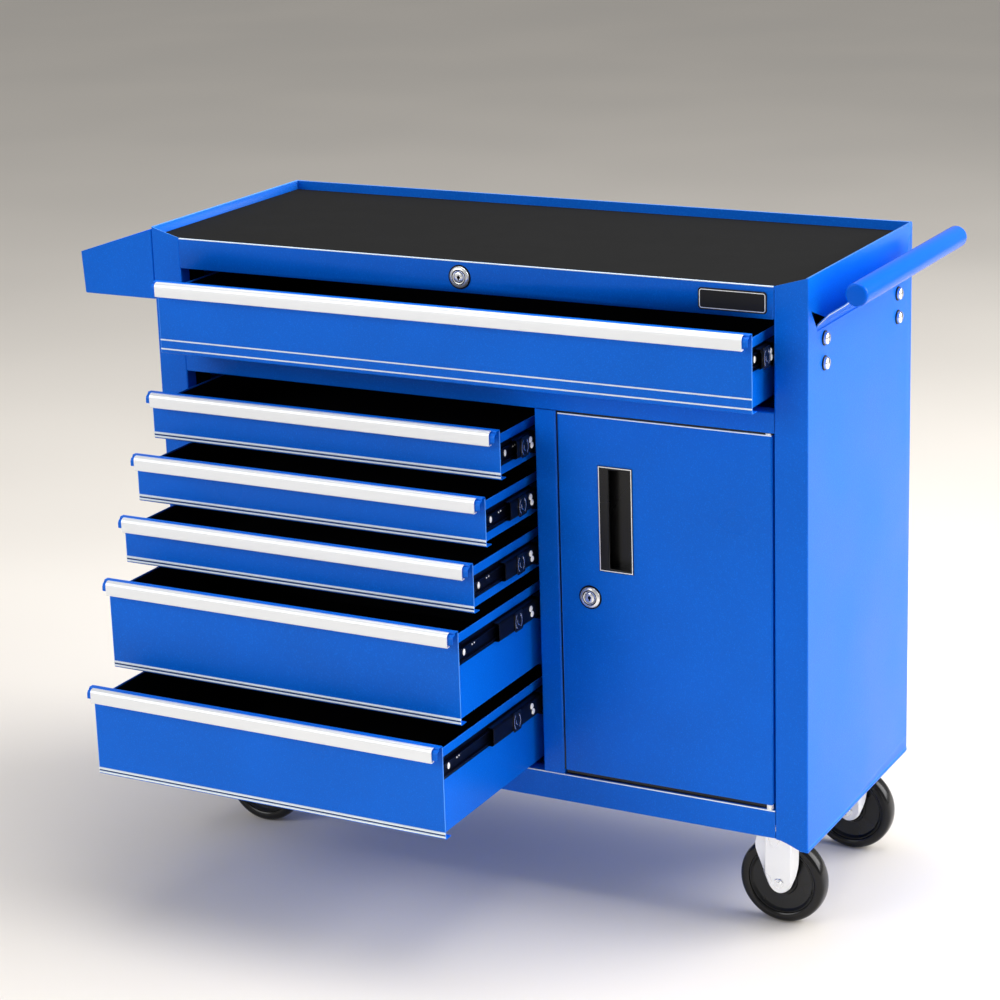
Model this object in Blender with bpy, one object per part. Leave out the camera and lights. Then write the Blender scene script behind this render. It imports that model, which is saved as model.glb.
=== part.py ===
"""A wheeled tool cart: a folded sheet-steel cabinet with six drawers on ball slides, a hinged
side compartment, a rubber-topped work surface, a push handle, a side bin and four casters.

Metres, +Z up. The drawers face -Y and the push handle is on the +X side. The parts are placed
in a cabinet frame, centred on the cabinet and LIFT above the floor, and one empty moves that
frame so that the middle of the whole cart's footprint is at the world origin.
"""

import math

import bmesh
import bpy
from mathutils import Matrix, Vector

# Sheet metal and clearances
SHEET = 0.0012
HEM = 0.0028
GAP = 0.0003
RETURN = 0.018

# Cabinet
WIDTH = 0.850
DEPTH = 0.332
BASE_Z = 0.110
RIM_Z = 0.776
WORKTOP_Z = 0.7645
MAT = 0.003
STILE = 0.0395
SKIRT = 0.0106
TOP_RAIL_Z = 0.7278
MID_RAIL_Z = (0.5997, 0.6238)
BOTTOM_RAIL_Z = (0.1206, 0.1549)
FLOOR_Z = 0.128
CENTRE_STILE_X = (0.091, 0.118)
STILE_ZONE_X = (0.08, 0.13)
SIDE_LIP = 0.010
BACK_TOP_Z = 0.7595

# Drawers, top to bottom: bottom edge, front height, how far each is pulled out
DRAWER_BOTTOM_Z = (0.6350, 0.5354, 0.4680, 0.4006, 0.2813, 0.1620)
DRAWER_HEIGHT = (0.0900, 0.0600, 0.0600, 0.0600, 0.1130, 0.1130)
DRAWER_PULLED = (0.054, 0.079, 0.118, 0.151, 0.190, 0.234)
DRAWER_LENGTH = 0.300
FRONT_SHEET = 0.001
FRONT_CLEARANCE = 0.003
SIDE_BELOW_TOP = 0.012
PULL_REACH = 0.0150
PULL_HEIGHT = 0.018

# Ball slides
SLIDE_WIDTH = 0.0123
SLIDE_BELOW_SIDE = 0.024
RAIL_HEIGHT = 0.027
MEMBER_HEIGHT = 0.0224
RAIL_START = 0.002
RAIL_DEPTH = 0.0108
MEMBER_DEPTH = 0.0088
UPRIGHT_Y = (-0.140, 0.100)
UPRIGHT_WIDTH = 0.022

# Door
DOOR_X = (0.1198, 0.3831)
DOOR_Z = (0.1615, 0.5975)
PIVOT_X = 0.378
PIVOT_INSET = 0.004
PIN_R = 0.0025
PIN_HOLE_R = 0.0028
BUSH_R = 0.0042
DOOR_PULL = (0.1725, 0.2112, 0.4170, 0.5386)
DOOR_LOCK = (0.1574, 0.3810)
TOP_LOCK = (0.0, 0.7458)
LOCK_HOLE_R = 0.0094
ROSETTE_R = 0.013
BARREL_R = 0.0088
PLUG_HOLE_R = 0.0063
PLUG_R = 0.0060

# Name plate
PLATE_CENTRE = (0.3374, 0.7453)
PLATE_SIZE = (0.081, 0.0245)
PLATE_ROUND = 0.004
PLATE_OUT = 0.0016

# Push handle
TUBE_X = 0.479
TUBE_Z = 0.762
TUBE_R = 0.013
BRACKET_HALF = 0.137
BOLT_Y = 0.117
BOLT_Z = (0.672, 0.700)
BOLT_R = 0.003
BOLT_HOLE_R = 0.0036
BOLT_HEAD_R = 0.0068
BOLT_HEAD_OUT = 0.0062
BOLT_HEAD_ROUND = 0.0022
NUT_PLATE_Z = (0.662, 0.710)
NUT_PLATE_HALF = 0.008
NUT_PLATE_DEPTH = 0.003
HANDLE_SLOT_Z = (0.712, 0.7235)
SLOT_NOTCH = ((-0.138, 0.7122), (-0.116, 0.7230), (-0.157, 0.7385))
BRACKET_PLAY = 0.0015
BRACKET_SHEET = 0.0015
BRACKET_Z = (0.652, 0.7165)
WING = ((0.0126, 0.7306), (0.0303, 0.7420), (0.0438, 0.7527))

# Side bin
BIN_REACH = 0.108
BIN_Z = (0.686, 0.738, 0.772)

# Casters
LIFT = 0.004
WHEEL_R = 0.0525
AXLE_Z = WHEEL_R - LIFT
WHEEL_WIDTH = 0.026
CASTER_X = 0.375
CASTER_Y = 0.112
TRAIL = 0.035
AXLE_R = 0.004
PLATE_HALF = (0.046, 0.033)
PLATE_SHEET = 0.0025
RACE_R = 0.026
CROWN_R = 0.027
CHEEK_GAP = 0.0035

INSIDE_X = WIDTH / 2 - SHEET
OPENING_X = WIDTH / 2 - STILE
FRONT_Y = -DEPTH / 2
BACK_Y = DEPTH / 2
REST_LOWEST_Y = FRONT_Y - max(DRAWER_PULLED) - PULL_REACH
CENTRING = (
    (BIN_REACH - (TUBE_X + TUBE_R - WIDTH / 2)) / 2,
    -(REST_LOWEST_Y + BACK_Y) / 2,
)


def painted(name, color, roughness, metallic):
    material = bpy.data.materials.new(name)
    material.use_nodes = True
    shader = material.node_tree.nodes["Principled BSDF"]
    shader.inputs["Base Color"].default_value = (*color, 1.0)
    shader.inputs["Roughness"].default_value = roughness
    shader.inputs["Metallic"].default_value = metallic
    material.diffuse_color = (*color, 1.0)
    return material


def add_object(name, shape, material, origin=(0.0, 0.0, 0.0), smooth=False):
    """Turns a bmesh in the cabinet frame into a placed object whose origin is at `origin`."""
    bmesh.ops.remove_doubles(shape, verts=shape.verts, dist=1e-6)
    bmesh.ops.recalc_face_normals(shape, faces=shape.faces)
    bmesh.ops.translate(shape, verts=shape.verts, vec=-Vector(origin))
    mesh = bpy.data.meshes.new(name)
    shape.to_mesh(mesh)
    shape.free()
    mesh.materials.append(material)
    if smooth:
        mesh.shade_smooth()
        mesh.set_sharp_from_angle(angle=math.radians(32))
    thing = bpy.data.objects.new(name, mesh)
    thing.location = origin
    thing.parent = bpy.data.objects["cabinet_frame"]
    bpy.context.collection.objects.link(thing)
    return thing


def prism(outline, axis, low, high):
    """A closed outline extruded along X, Y or Z; its points are the other two coordinates in order."""
    placed = {
        "X": lambda a, b, along: (along, a, b),
        "Y": lambda a, b, along: (a, along, b),
        "Z": lambda a, b, along: (a, b, along),
    }[axis]
    shape = bmesh.new()
    ends = [[shape.verts.new(placed(a, b, along)) for a, b in outline] for along in (low, high)]
    count = len(outline)
    shape.faces.new(ends[0])
    shape.faces.new(reversed(ends[1]))
    for i in range(count):
        j = (i + 1) % count
        shape.faces.new((ends[0][i], ends[1][i], ends[1][j], ends[0][j]))
    bmesh.ops.recalc_face_normals(shape, faces=shape.faces)
    return shape


def box(x, y, z):
    return prism([(x[0], y[0]), (x[1], y[0]), (x[1], y[1]), (x[0], y[1])], "Z", z[0], z[1])


def circle(centre, radius, sides, start=0.0):
    turns = [start + 2 * math.pi * i / sides for i in range(sides)]
    return [(centre[0] + radius * math.cos(a), centre[1] + radius * math.sin(a)) for a in turns]


def rod(axis, centre, radius, low, high, sides=16):
    return prism(circle(centre, radius, sides, math.pi / sides), axis, low, high)


def folded(path, thickness=SHEET):
    """The closed outline of a sheet folded along `path`, with its thickness on the path's left."""
    points = [Vector(p) for p in path]
    normals = []
    for a, b in zip(points, points[1:]):
        along = (b - a).normalized()
        normals.append(Vector((-along.y, along.x)))
    inner = []
    for i, point in enumerate(points):
        before = normals[max(i - 1, 0)]
        after = normals[min(i, len(normals) - 1)]
        mitre = (before + after).normalized()
        inner.append(point + mitre * thickness / mitre.dot(before))
    return [tuple(p) for p in points + inner[::-1]]


def combined(base, shapes, operation):
    """The base shape with other closed shapes joined to it (UNION) or cut from it (DIFFERENCE)."""
    helpers = []
    for i, shape in enumerate([base, *shapes]):
        mesh = bpy.data.meshes.new("helper")
        shape.to_mesh(mesh)
        shape.free()
        helper = bpy.data.objects.new("helper", mesh)
        bpy.context.collection.objects.link(helper)
        helpers.append(helper)
        if i:
            modifier = helpers[0].modifiers.new(operation.title(), "BOOLEAN")
            modifier.operation = operation
            modifier.object = helper
    bpy.context.view_layer.update()
    result = bmesh.new()
    result.from_object(helpers[0], bpy.context.evaluated_depsgraph_get())
    for helper in helpers:
        mesh = helper.data
        bpy.data.objects.remove(helper)
        bpy.data.meshes.remove(mesh)
    return result


def union(base, *shapes):
    return combined(base, shapes, "UNION")


def cut(base, *shapes):
    return combined(base, shapes, "DIFFERENCE")


def mirrored(shape):
    """The same shape on the other side of the cabinet's middle."""
    bmesh.ops.transform(shape, matrix=Matrix.Scale(-1, 4, (1, 0, 0)), verts=shape.verts)
    bmesh.ops.reverse_faces(shape, faces=shape.faces)
    return shape


def side_wall():
    """The right wall, folded at the front into the stile and at the back into a short flange."""
    path = [
        (OPENING_X, FRONT_Y + RETURN),
        (OPENING_X, FRONT_Y),
        (WIDTH / 2, FRONT_Y),
        (WIDTH / 2, BACK_Y),
        (WIDTH / 2 - RETURN, BACK_Y),
    ]
    wall = prism(folded(path), "Z", BASE_Z, RIM_Z)
    above = RIM_Z + 0.01
    stile_top = prism(
        [
            (INSIDE_X, above),
            (INSIDE_X, RIM_Z - GAP),
            (OPENING_X - 0.001, WORKTOP_Z - GAP),
            (OPENING_X - 0.001, above),
        ],
        "Y",
        FRONT_Y - 0.001,
        FRONT_Y + RETURN + 0.001,
    )
    steps = 6
    drop = [
        (
            OPENING_X + STILE * i / steps,
            BASE_Z + SKIRT * (1 + math.cos(math.pi * i / steps)) / 2,
        )
        for i in range(steps + 1)
    ]
    below = BASE_Z - 0.01
    skirt = prism(
        [(OPENING_X - 0.001, below), (OPENING_X - 0.001, drop[0][1]), *drop, (WIDTH / 2, below)],
        "Y",
        FRONT_Y - 0.001,
        FRONT_Y + RETURN + 0.001,
    )
    deck_slot = box(
        (OPENING_X - 0.001, INSIDE_X),
        (FRONT_Y + SHEET, FRONT_Y + RETURN + 0.001),
        (WORKTOP_Z - MAT - SHEET - 2 * GAP, above),
    )
    wall = cut(wall, stile_top, skirt, deck_slot)
    hem = box(
        (WIDTH / 2 - HEM, INSIDE_X + SHEET / 2),
        (FRONT_Y + SHEET / 2, BACK_Y - SHEET / 2),
        (WORKTOP_Z - MAT / 2, RIM_Z - SHEET / 4),
    )
    lip = box(
        (WIDTH / 2 - SIDE_LIP, WIDTH / 2 - SHEET / 2),
        (FRONT_Y + SHEET / 2, BACK_Y - SHEET / 2),
        (BASE_Z + SHEET / 4, BASE_Z + SHEET * 5 / 4),
    )
    return union(wall, hem, lip)


def add_cabinet(paint, rubber):
    slot = box(
        (INSIDE_X - 0.002, WIDTH / 2 + 0.001),
        (-BRACKET_HALF - BRACKET_PLAY, BRACKET_HALF + BRACKET_PLAY),
        HANDLE_SLOT_Z,
    )
    notch = prism(SLOT_NOTCH, "X", INSIDE_X - 0.002, WIDTH / 2 + 0.001)
    holes = [
        rod("X", (y, z), BOLT_HOLE_R, INSIDE_X - 0.002, WIDTH / 2 + 0.002)
        for y in (-BOLT_Y, BOLT_Y)
        for z in BOLT_Z
    ]
    add_object("side_panel_left", mirrored(side_wall()), paint)
    add_object("side_panel_right", cut(side_wall(), slot, notch, *holes), paint)

    half = INSIDE_X - GAP
    back_y = (BACK_Y - 2 * SHEET - GAP, BACK_Y - SHEET - GAP)
    back = box((-half, half), back_y, (FLOOR_Z, BACK_TOP_Z))
    add_object("back_panel", back, paint)

    floor_front = FRONT_Y + RETURN + 0.0004
    floor_back = BACK_Y - 2 * SHEET - 2 * GAP
    floor_path = [
        (floor_front, BOTTOM_RAIL_Z[1] - 0.004),
        (floor_front, FLOOR_Z),
        (floor_back, FLOOR_Z),
        (floor_back, BOTTOM_RAIL_Z[1] - 0.004),
    ]
    add_object("bottom_panel", prism(folded(floor_path), "X", -half, half), paint)

    rail = OPENING_X - GAP
    deck_z = WORKTOP_Z - MAT
    front_hem = FRONT_Y + 0.0022
    tray_back = BACK_Y - SHEET - GAP
    rail_outline = [
        (FRONT_Y + RETURN, TOP_RAIL_Z),
        (FRONT_Y, TOP_RAIL_Z),
        (FRONT_Y, WORKTOP_Z),
        (front_hem, WORKTOP_Z),
        (front_hem, deck_z - SHEET / 4),
        (FRONT_Y + 0.012, deck_z - SHEET / 4),
        (FRONT_Y + 0.012, deck_z - SHEET * 3 / 4),
        (FRONT_Y + SHEET, deck_z - SHEET * 3 / 4),
        (FRONT_Y + SHEET, TOP_RAIL_Z + SHEET),
        (FRONT_Y + RETURN, TOP_RAIL_Z + SHEET),
    ]
    tray = prism(rail_outline, "X", -rail, rail)
    deck = box((-half, half), (FRONT_Y + SHEET + GAP, tray_back - GAP), (deck_z - SHEET, deck_z))
    rim_x = WIDTH / 2 - HEM - GAP
    rim = box((-rim_x, rim_x), (tray_back - HEM, tray_back), (deck_z - SHEET / 2, RIM_Z))
    tray = union(tray, deck, rim)
    tray = cut(tray, rod("Y", TOP_LOCK, LOCK_HOLE_R, FRONT_Y - 0.01, FRONT_Y + 0.01))
    add_object("top_tray", tray, paint)

    mat = box(
        (-WIDTH / 2 + HEM + GAP, WIDTH / 2 - HEM - GAP),
        (front_hem + GAP, tray_back - HEM - GAP),
        (deck_z + GAP, WORKTOP_Z + GAP),
    )
    add_object("worktop_mat", mat, rubber)

    for name, (low, high) in (("mid_rail", MID_RAIL_Z), ("bottom_rail", BOTTOM_RAIL_Z)):
        path = [
            (FRONT_Y + RETURN, high),
            (FRONT_Y, high),
            (FRONT_Y, low),
            (FRONT_Y + RETURN, low),
        ]
        channel = prism(folded(path), "X", -rail, rail)
        pin_z = (low - 0.01, high - 0.004) if name == "mid_rail" else (low + 0.004, high + 0.01)
        pin_hole = rod("Z", (PIVOT_X, FRONT_Y + PIVOT_INSET), PIN_HOLE_R, *pin_z)
        add_object(name, cut(channel, pin_hole), paint)

    post = [
        (CENTRE_STILE_X[0], BACK_Y - 2 * SHEET - 2 * GAP),
        (CENTRE_STILE_X[0], FRONT_Y),
        (CENTRE_STILE_X[1], FRONT_Y),
        (CENTRE_STILE_X[1], FRONT_Y + RETURN + 0.002),
    ]
    partition = prism(folded(post), "Z", FLOOR_Z + SHEET + GAP, MID_RAIL_Z[0] - GAP)
    foot = box(
        STILE_ZONE_X,
        (FRONT_Y - 0.001, FRONT_Y + RETURN + 0.0022),
        (FLOOR_Z, BOTTOM_RAIL_Z[1] + GAP),
    )
    tail = box(
        STILE_ZONE_X,
        (floor_back - SHEET - GAP, BACK_Y),
        (FLOOR_Z, BOTTOM_RAIL_Z[1]),
    )
    add_object("centre_partition", cut(partition, foot, tail), paint)


def add_side_bin(paint):
    outer = -WIDTH / 2 - BIN_REACH
    inner = -WIDTH / 2 - GAP
    low, outer_top, inner_top = BIN_Z
    outline = [(outer, outer_top), (outer + 0.003, low), (inner, low), (inner, inner_top)]
    above = RIM_Z + 0.03
    hollow = [
        (outer + SHEET, above),
        (outer + SHEET, outer_top),
        (outer + 0.003 + SHEET, low + SHEET),
        (inner - SHEET, low + SHEET),
        (inner - SHEET, above),
    ]
    body = prism(outline, "Y", FRONT_Y, BACK_Y)
    add_object("side_bin", cut(body, prism(hollow, "Y", FRONT_Y + SHEET, BACK_Y - SHEET)), paint)


def add_handle(paint, steel):
    half = DEPTH / 2
    vent, bore = 0.0015, TUBE_R - 0.0016
    one_end = [(bore, half - 0.002), (vent, half - 0.002), (vent, half), (TUBE_R - 0.0022, half)]
    one_end += [(TUBE_R - 0.0007, half - 0.0007), (TUBE_R, half - 0.0022)]
    profile = one_end + [(r, -y) for r, y in one_end[::-1]]
    tube = turned(profile, (TUBE_X, 0.0, TUBE_Z), 24)
    add_object("push_handle", tube, paint, (TUBE_X, 0.0, TUBE_Z), smooth=True)

    flange_x = INSIDE_X - GAP
    wing = [
        *((flange_x, z) for z in BRACKET_Z),
        *((WIDTH / 2 + reach, z) for reach, z in WING),
    ]
    bracket = prism(folded(wing, BRACKET_SHEET), "Y", -BRACKET_HALF, BRACKET_HALF)
    holes = [
        rod("X", (y, z), BOLT_HOLE_R, flange_x - 0.004, flange_x + 0.002)
        for y in (-BOLT_Y, BOLT_Y)
        for z in BOLT_Z
    ]
    add_object("handle_bracket", cut(bracket, *holes), paint)

    for name, y in (("handle_bolts_front", -BOLT_Y), ("handle_bolts_rear", BOLT_Y)):
        plate_x = flange_x - BRACKET_SHEET - GAP
        bolts = box(
            (plate_x - NUT_PLATE_DEPTH, plate_x),
            (y - NUT_PLATE_HALF, y + NUT_PLATE_HALF),
            NUT_PLATE_Z,
        )
        shapes = []
        for z in BOLT_Z:
            shapes.append(rod("X", (y, z), BOLT_R, plate_x - 0.002, WIDTH / 2 + 0.002))
            crown_x = WIDTH / 2 + BOLT_HEAD_OUT
            head = rod("X", (y, z), BOLT_HEAD_R, WIDTH / 2 + GAP, crown_x)
            rim = [e for e in head.edges if all(v.co.x > crown_x - 0.0001 for v in e.verts)]
            bmesh.ops.bevel(head, geom=rim, offset=BOLT_HEAD_ROUND, segments=1, affect="EDGES")
            shapes.append(head)
        add_object(name, union(bolts, *shapes), steel)


def add_name_plate(black):
    across, up = (size / 2 - PLATE_ROUND for size in PLATE_SIZE)
    outline = []
    for turn, (sx, sz) in enumerate(((1, 1), (-1, 1), (-1, -1), (1, -1))):
        x, z = PLATE_CENTRE[0] + sx * across, PLATE_CENTRE[1] + sz * up
        for step in range(4):
            a = math.pi / 2 * (turn + step / 3)
            outline.append((x + PLATE_ROUND * math.cos(a), z + PLATE_ROUND * math.sin(a)))
    add_object("name_plate", prism(outline, "Y", FRONT_Y - PLATE_OUT, FRONT_Y - GAP), black)


def add_lock(prefix, centre, cam_length, cam_turn, steel):
    """A cam lock: a fixed rosette and barrel, and a plug that turns in it and carries the cam."""
    front = FRONT_Y - 0.003
    rosette = rod("Y", centre, ROSETTE_R, front, FRONT_Y - GAP, 24)
    barrel = rod("Y", centre, BARREL_R, FRONT_Y - 0.001, FRONT_Y + 0.0190, 24)
    hole = rod("Y", centre, PLUG_HOLE_R, front - 0.001, FRONT_Y + 0.0200, 24)
    housing = cut(union(rosette, barrel), hole)
    origin = (centre[0], FRONT_Y, centre[1])
    add_object(prefix + "_lock_housing", housing, steel, origin, smooth=True)
    plug = rod("Y", centre, PLUG_R, front - 0.0006, FRONT_Y + 0.0215, 24)
    across = (math.cos(cam_turn), math.sin(cam_turn))
    side = (-across[1], across[0])
    reach = [(-0.008, -0.007), (cam_length, -0.005), (cam_length, 0.005), (-0.008, 0.007)]
    outline = [
        (centre[0] + a * across[0] + b * side[0], centre[1] + a * across[1] + b * side[1])
        for a, b in reach
    ]
    cam = prism(outline, "Y", FRONT_Y + 0.0208, FRONT_Y + 0.0228)
    slot = box(
        (centre[0] - 0.0006, centre[0] + 0.0006),
        (front - 0.002, front + 0.002),
        (centre[1] - 0.0034, centre[1] + 0.0034),
    )
    add_object(prefix + "_lock_plug", cut(union(plug, cam), slot), steel, origin, smooth=True)


def add_door(paint, black, nylon):
    left, right = DOOR_X
    low, high = DOOR_Z
    back = FRONT_Y + RETURN
    path = [(left, back), (left, FRONT_Y), (right, FRONT_Y), (right, back)]
    pan = prism(folded(path), "Z", low, high)
    flanges = [
        box((left + SHEET / 2, right - SHEET / 2), (FRONT_Y + SHEET / 2, back), (z, z + SHEET))
        for z in (low, high - SHEET)
    ]
    x0, x1, z0, z1 = DOOR_PULL
    window = box((x0, x1), (FRONT_Y - 0.001, FRONT_Y + 0.003), (z0, z1))
    pivot = (PIVOT_X, FRONT_Y + PIVOT_INSET)
    pin_holes = [rod("Z", pivot, PIN_HOLE_R, z - 0.003, z + 0.003) for z in DOOR_Z]
    lock_hole = rod("Y", DOOR_LOCK, LOCK_HOLE_R, FRONT_Y - 0.001, FRONT_Y + 0.003)
    pan = cut(union(pan, *flanges), window, lock_hole, *pin_holes)
    add_object("door_panel", pan, paint, (*pivot, (low + high) / 2))

    edge = 0.0006
    depth = 0.0150
    bezel = box((x0 - 0.002, x1 + 0.002), (FRONT_Y - 0.0012, FRONT_Y - GAP), (z0 - 0.002, z1 + 0.002))
    cup = box((x0 + edge, x1 - edge), (FRONT_Y - 0.001, FRONT_Y + depth), (z0 + edge, z1 - edge))
    wall = edge + SHEET
    lip = 0.009
    mouth = box(
        (x0 + wall + lip, x1 - wall),
        (FRONT_Y - 0.002, FRONT_Y + depth - SHEET),
        (z0 + wall, z1 - wall),
    )
    behind_lip = box(
        (x0 + wall, x0 + wall + lip + 0.001),
        (FRONT_Y + 0.003, FRONT_Y + depth - SHEET),
        (z0 + wall, z1 - wall),
    )
    pull = cut(union(bezel, cup), mouth, behind_lip)
    add_object("door_pull", pull, black)

    for name, rail_z, door_z, up in (
        ("door_hinge_lower", BOTTOM_RAIL_Z[1], low, 1),
        ("door_hinge_upper", MID_RAIL_Z[0], high, -1),
    ):
        ends = sorted((rail_z - up * 0.004, door_z + up * 0.008))
        washer = sorted((rail_z + up * GAP, door_z - up * GAP))
        pin = rod("Z", pivot, PIN_R, *ends)
        bush = rod("Z", pivot, BUSH_R, *washer)
        add_object(name, union(pin, bush), nylon, (*pivot, rail_z), smooth=True)


def channel(x, z, height, depth, inward):
    """The XZ outline of a slide member: a C whose web is at x and whose flanges point `inward`."""
    tip = x + inward * depth
    path = [(tip, z - height / 2), (x, z - height / 2), (x, z + height / 2), (tip, z + height / 2)]
    return folded(path if inward < 0 else path[::-1])


def slide_height(i):
    return DRAWER_BOTTOM_Z[i] + DRAWER_HEIGHT[i] - SIDE_BELOW_TOP - SLIDE_BELOW_SIDE


def drawer_span(i):
    """The width of the opening that a drawer fills: the top one is as wide as both bays."""
    return -OPENING_X, OPENING_X if i == 0 else CENTRE_STILE_X[0]


def outer_rail(x, i, inward):
    start = FRONT_Y + RAIL_START
    outline = channel(x, slide_height(i), RAIL_HEIGHT, RAIL_DEPTH, inward)
    return prism(outline, "Y", start, start + DRAWER_LENGTH)


def add_slide_rails(steel):
    count = len(DRAWER_BOTTOM_Z)
    left = -OPENING_X + GAP
    rails = [outer_rail(left, i, 1) for i in range(count)]
    posts = []
    for y in UPRIGHT_Y:
        path = [
            (-INSIDE_X + GAP, y),
            (left + SHEET / 3, y),
            (left + SHEET / 3, y + UPRIGHT_WIDTH),
            (-INSIDE_X + GAP, y + UPRIGHT_WIDTH),
        ]
        posts.append(prism(folded(path), "Z", FLOOR_Z + SHEET + GAP, 0.722))
    add_object("slide_rack_left", union(posts[0], posts[1], *rails), steel)

    right = CENTRE_STILE_X[0] - GAP
    rails = [outer_rail(right, i, -1) for i in range(1, count)]
    straps = [
        box((right - SHEET * 0.8, right - SHEET * 0.2), (y, y + UPRIGHT_WIDTH), (0.215, 0.580))
        for y in UPRIGHT_Y
    ]
    add_object("slide_rack_centre", union(straps[0], straps[1], *rails), steel)

    right = OPENING_X - GAP
    brackets = [
        prism(
            folded([(INSIDE_X - 0.003, y), (right - SHEET / 3, y), (right - SHEET / 3, y + UPRIGHT_WIDTH),
                    (INSIDE_X - 0.003, y + UPRIGHT_WIDTH)][::-1]),
            "Z",
            slide_height(0) - 0.012,
            slide_height(0) + 0.012,
        )
        for y in (-0.062, 0.040)
    ]
    add_object("slide_rail_top_right", union(outer_rail(right, 0, -1), *brackets), steel)


def add_slide_members(i, steel):
    """The two moving slide members of a drawer, drawn out half as far as the drawer."""
    start = FRONT_Y + RAIL_START - DRAWER_PULLED[i] / 2
    low, high = drawer_span(i)
    step = GAP + 0.0030
    for side, x, inward in (("left", low + step, 1), ("right", high - step, -1)):
        outline = channel(x, slide_height(i), MEMBER_HEIGHT, MEMBER_DEPTH, inward)
        member = prism(outline, "Y", start, start + DRAWER_LENGTH)
        name = f"slide_member_{i + 1}_{side}"
        add_object(name, member, steel, (x, start, slide_height(i)))


def add_drawer(i, paint, trim):
    """A drawer: an open box behind a folded front whose top edge curls forward into the pull."""
    low, high = drawer_span(i)
    left, right = low + FRONT_CLEARANCE, high - FRONT_CLEARANCE
    bottom = DRAWER_BOTTOM_Z[i]
    top = bottom + DRAWER_HEIGHT[i]
    face = FRONT_Y - DRAWER_PULLED[i]
    lip = face - PULL_REACH + 0.0030
    front_path = [
        (face + 0.010, bottom),
        (face, bottom),
        (face, top - 0.0130),
        (face - 0.0025, top - 0.0065),
        (face - 0.0075, top - 0.0030),
        (lip, top - 0.0026),
        (lip, top - PULL_HEIGHT + 0.003),
    ]
    front = prism(folded(front_path[::-1], FRONT_SHEET), "X", left, right)
    box_x = (low + SLIDE_WIDTH + 2 * GAP, high - SLIDE_WIDTH - 2 * GAP)
    wall = SHEET
    side_top = top - SIDE_BELOW_TOP
    outer = box(box_x, (face + SHEET / 2, face + DRAWER_LENGTH), (bottom + 0.0004, side_top))
    hollow = box(
        (box_x[0] + wall, box_x[1] - wall),
        (face + 0.001, face + DRAWER_LENGTH - wall),
        (bottom + 0.0004 + wall, side_top + 0.01),
    )
    name = f"drawer_{i + 1}"
    origin = ((low + high) / 2, face, bottom)
    add_object(name, union(front, cut(outer, hollow)), paint, origin)

    ahead = face - PULL_REACH
    back = face - 0.0085
    pull_path = [
        (back, top - PULL_HEIGHT),
        (ahead + 0.0015, top - PULL_HEIGHT),
        (ahead, top - PULL_HEIGHT + 0.0025),
        (ahead, top - 0.0025),
        (ahead + 0.0015, top),
        (back, top),
    ]
    inset = 0.006
    pull = prism(folded(pull_path[::-1]), "X", left + inset, right - inset)
    add_object(f"drawer_pull_{i + 1}", pull, trim, ((low + high) / 2, face, top))


def turned(profile, centre, sides):
    """A wheel: (radius, y) points turned about an axis along Y, closed on themselves."""
    shape = bmesh.new()
    rings = []
    for i in range(sides):
        a = 2 * math.pi * i / sides
        rings.append(
            [
                shape.verts.new(
                    (centre[0] + r * math.cos(a), centre[1] + y, centre[2] + r * math.sin(a))
                )
                for r, y in profile
            ]
        )
    count = len(profile)
    for i in range(sides):
        here, there = rings[i], rings[(i + 1) % sides]
        for j in range(count):
            k = (j + 1) % count
            shape.faces.new((here[j], here[k], there[k], there[j]))
    return shape


def fork_cheek(top, axle, y):
    """One cheek of a fork, from a top `top` half-width wide down to a round end about the axle."""
    x_top, half_top, z_top = top
    x_axle, z_axle = axle
    outline = [(x_top - half_top, z_top), (x_top - half_top - 0.002, z_top - 0.018)]
    for i in range(9):
        a = math.pi * (1.06 + 0.88 * i / 8)
        outline.append((x_axle + 0.0155 * math.cos(a), z_axle + 0.0125 * math.sin(a)))
    outline += [(x_top + half_top + 0.002, z_top - 0.018), (x_top + half_top, z_top)]
    return prism(outline, "Y", y - 0.001, y + 0.001)


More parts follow.
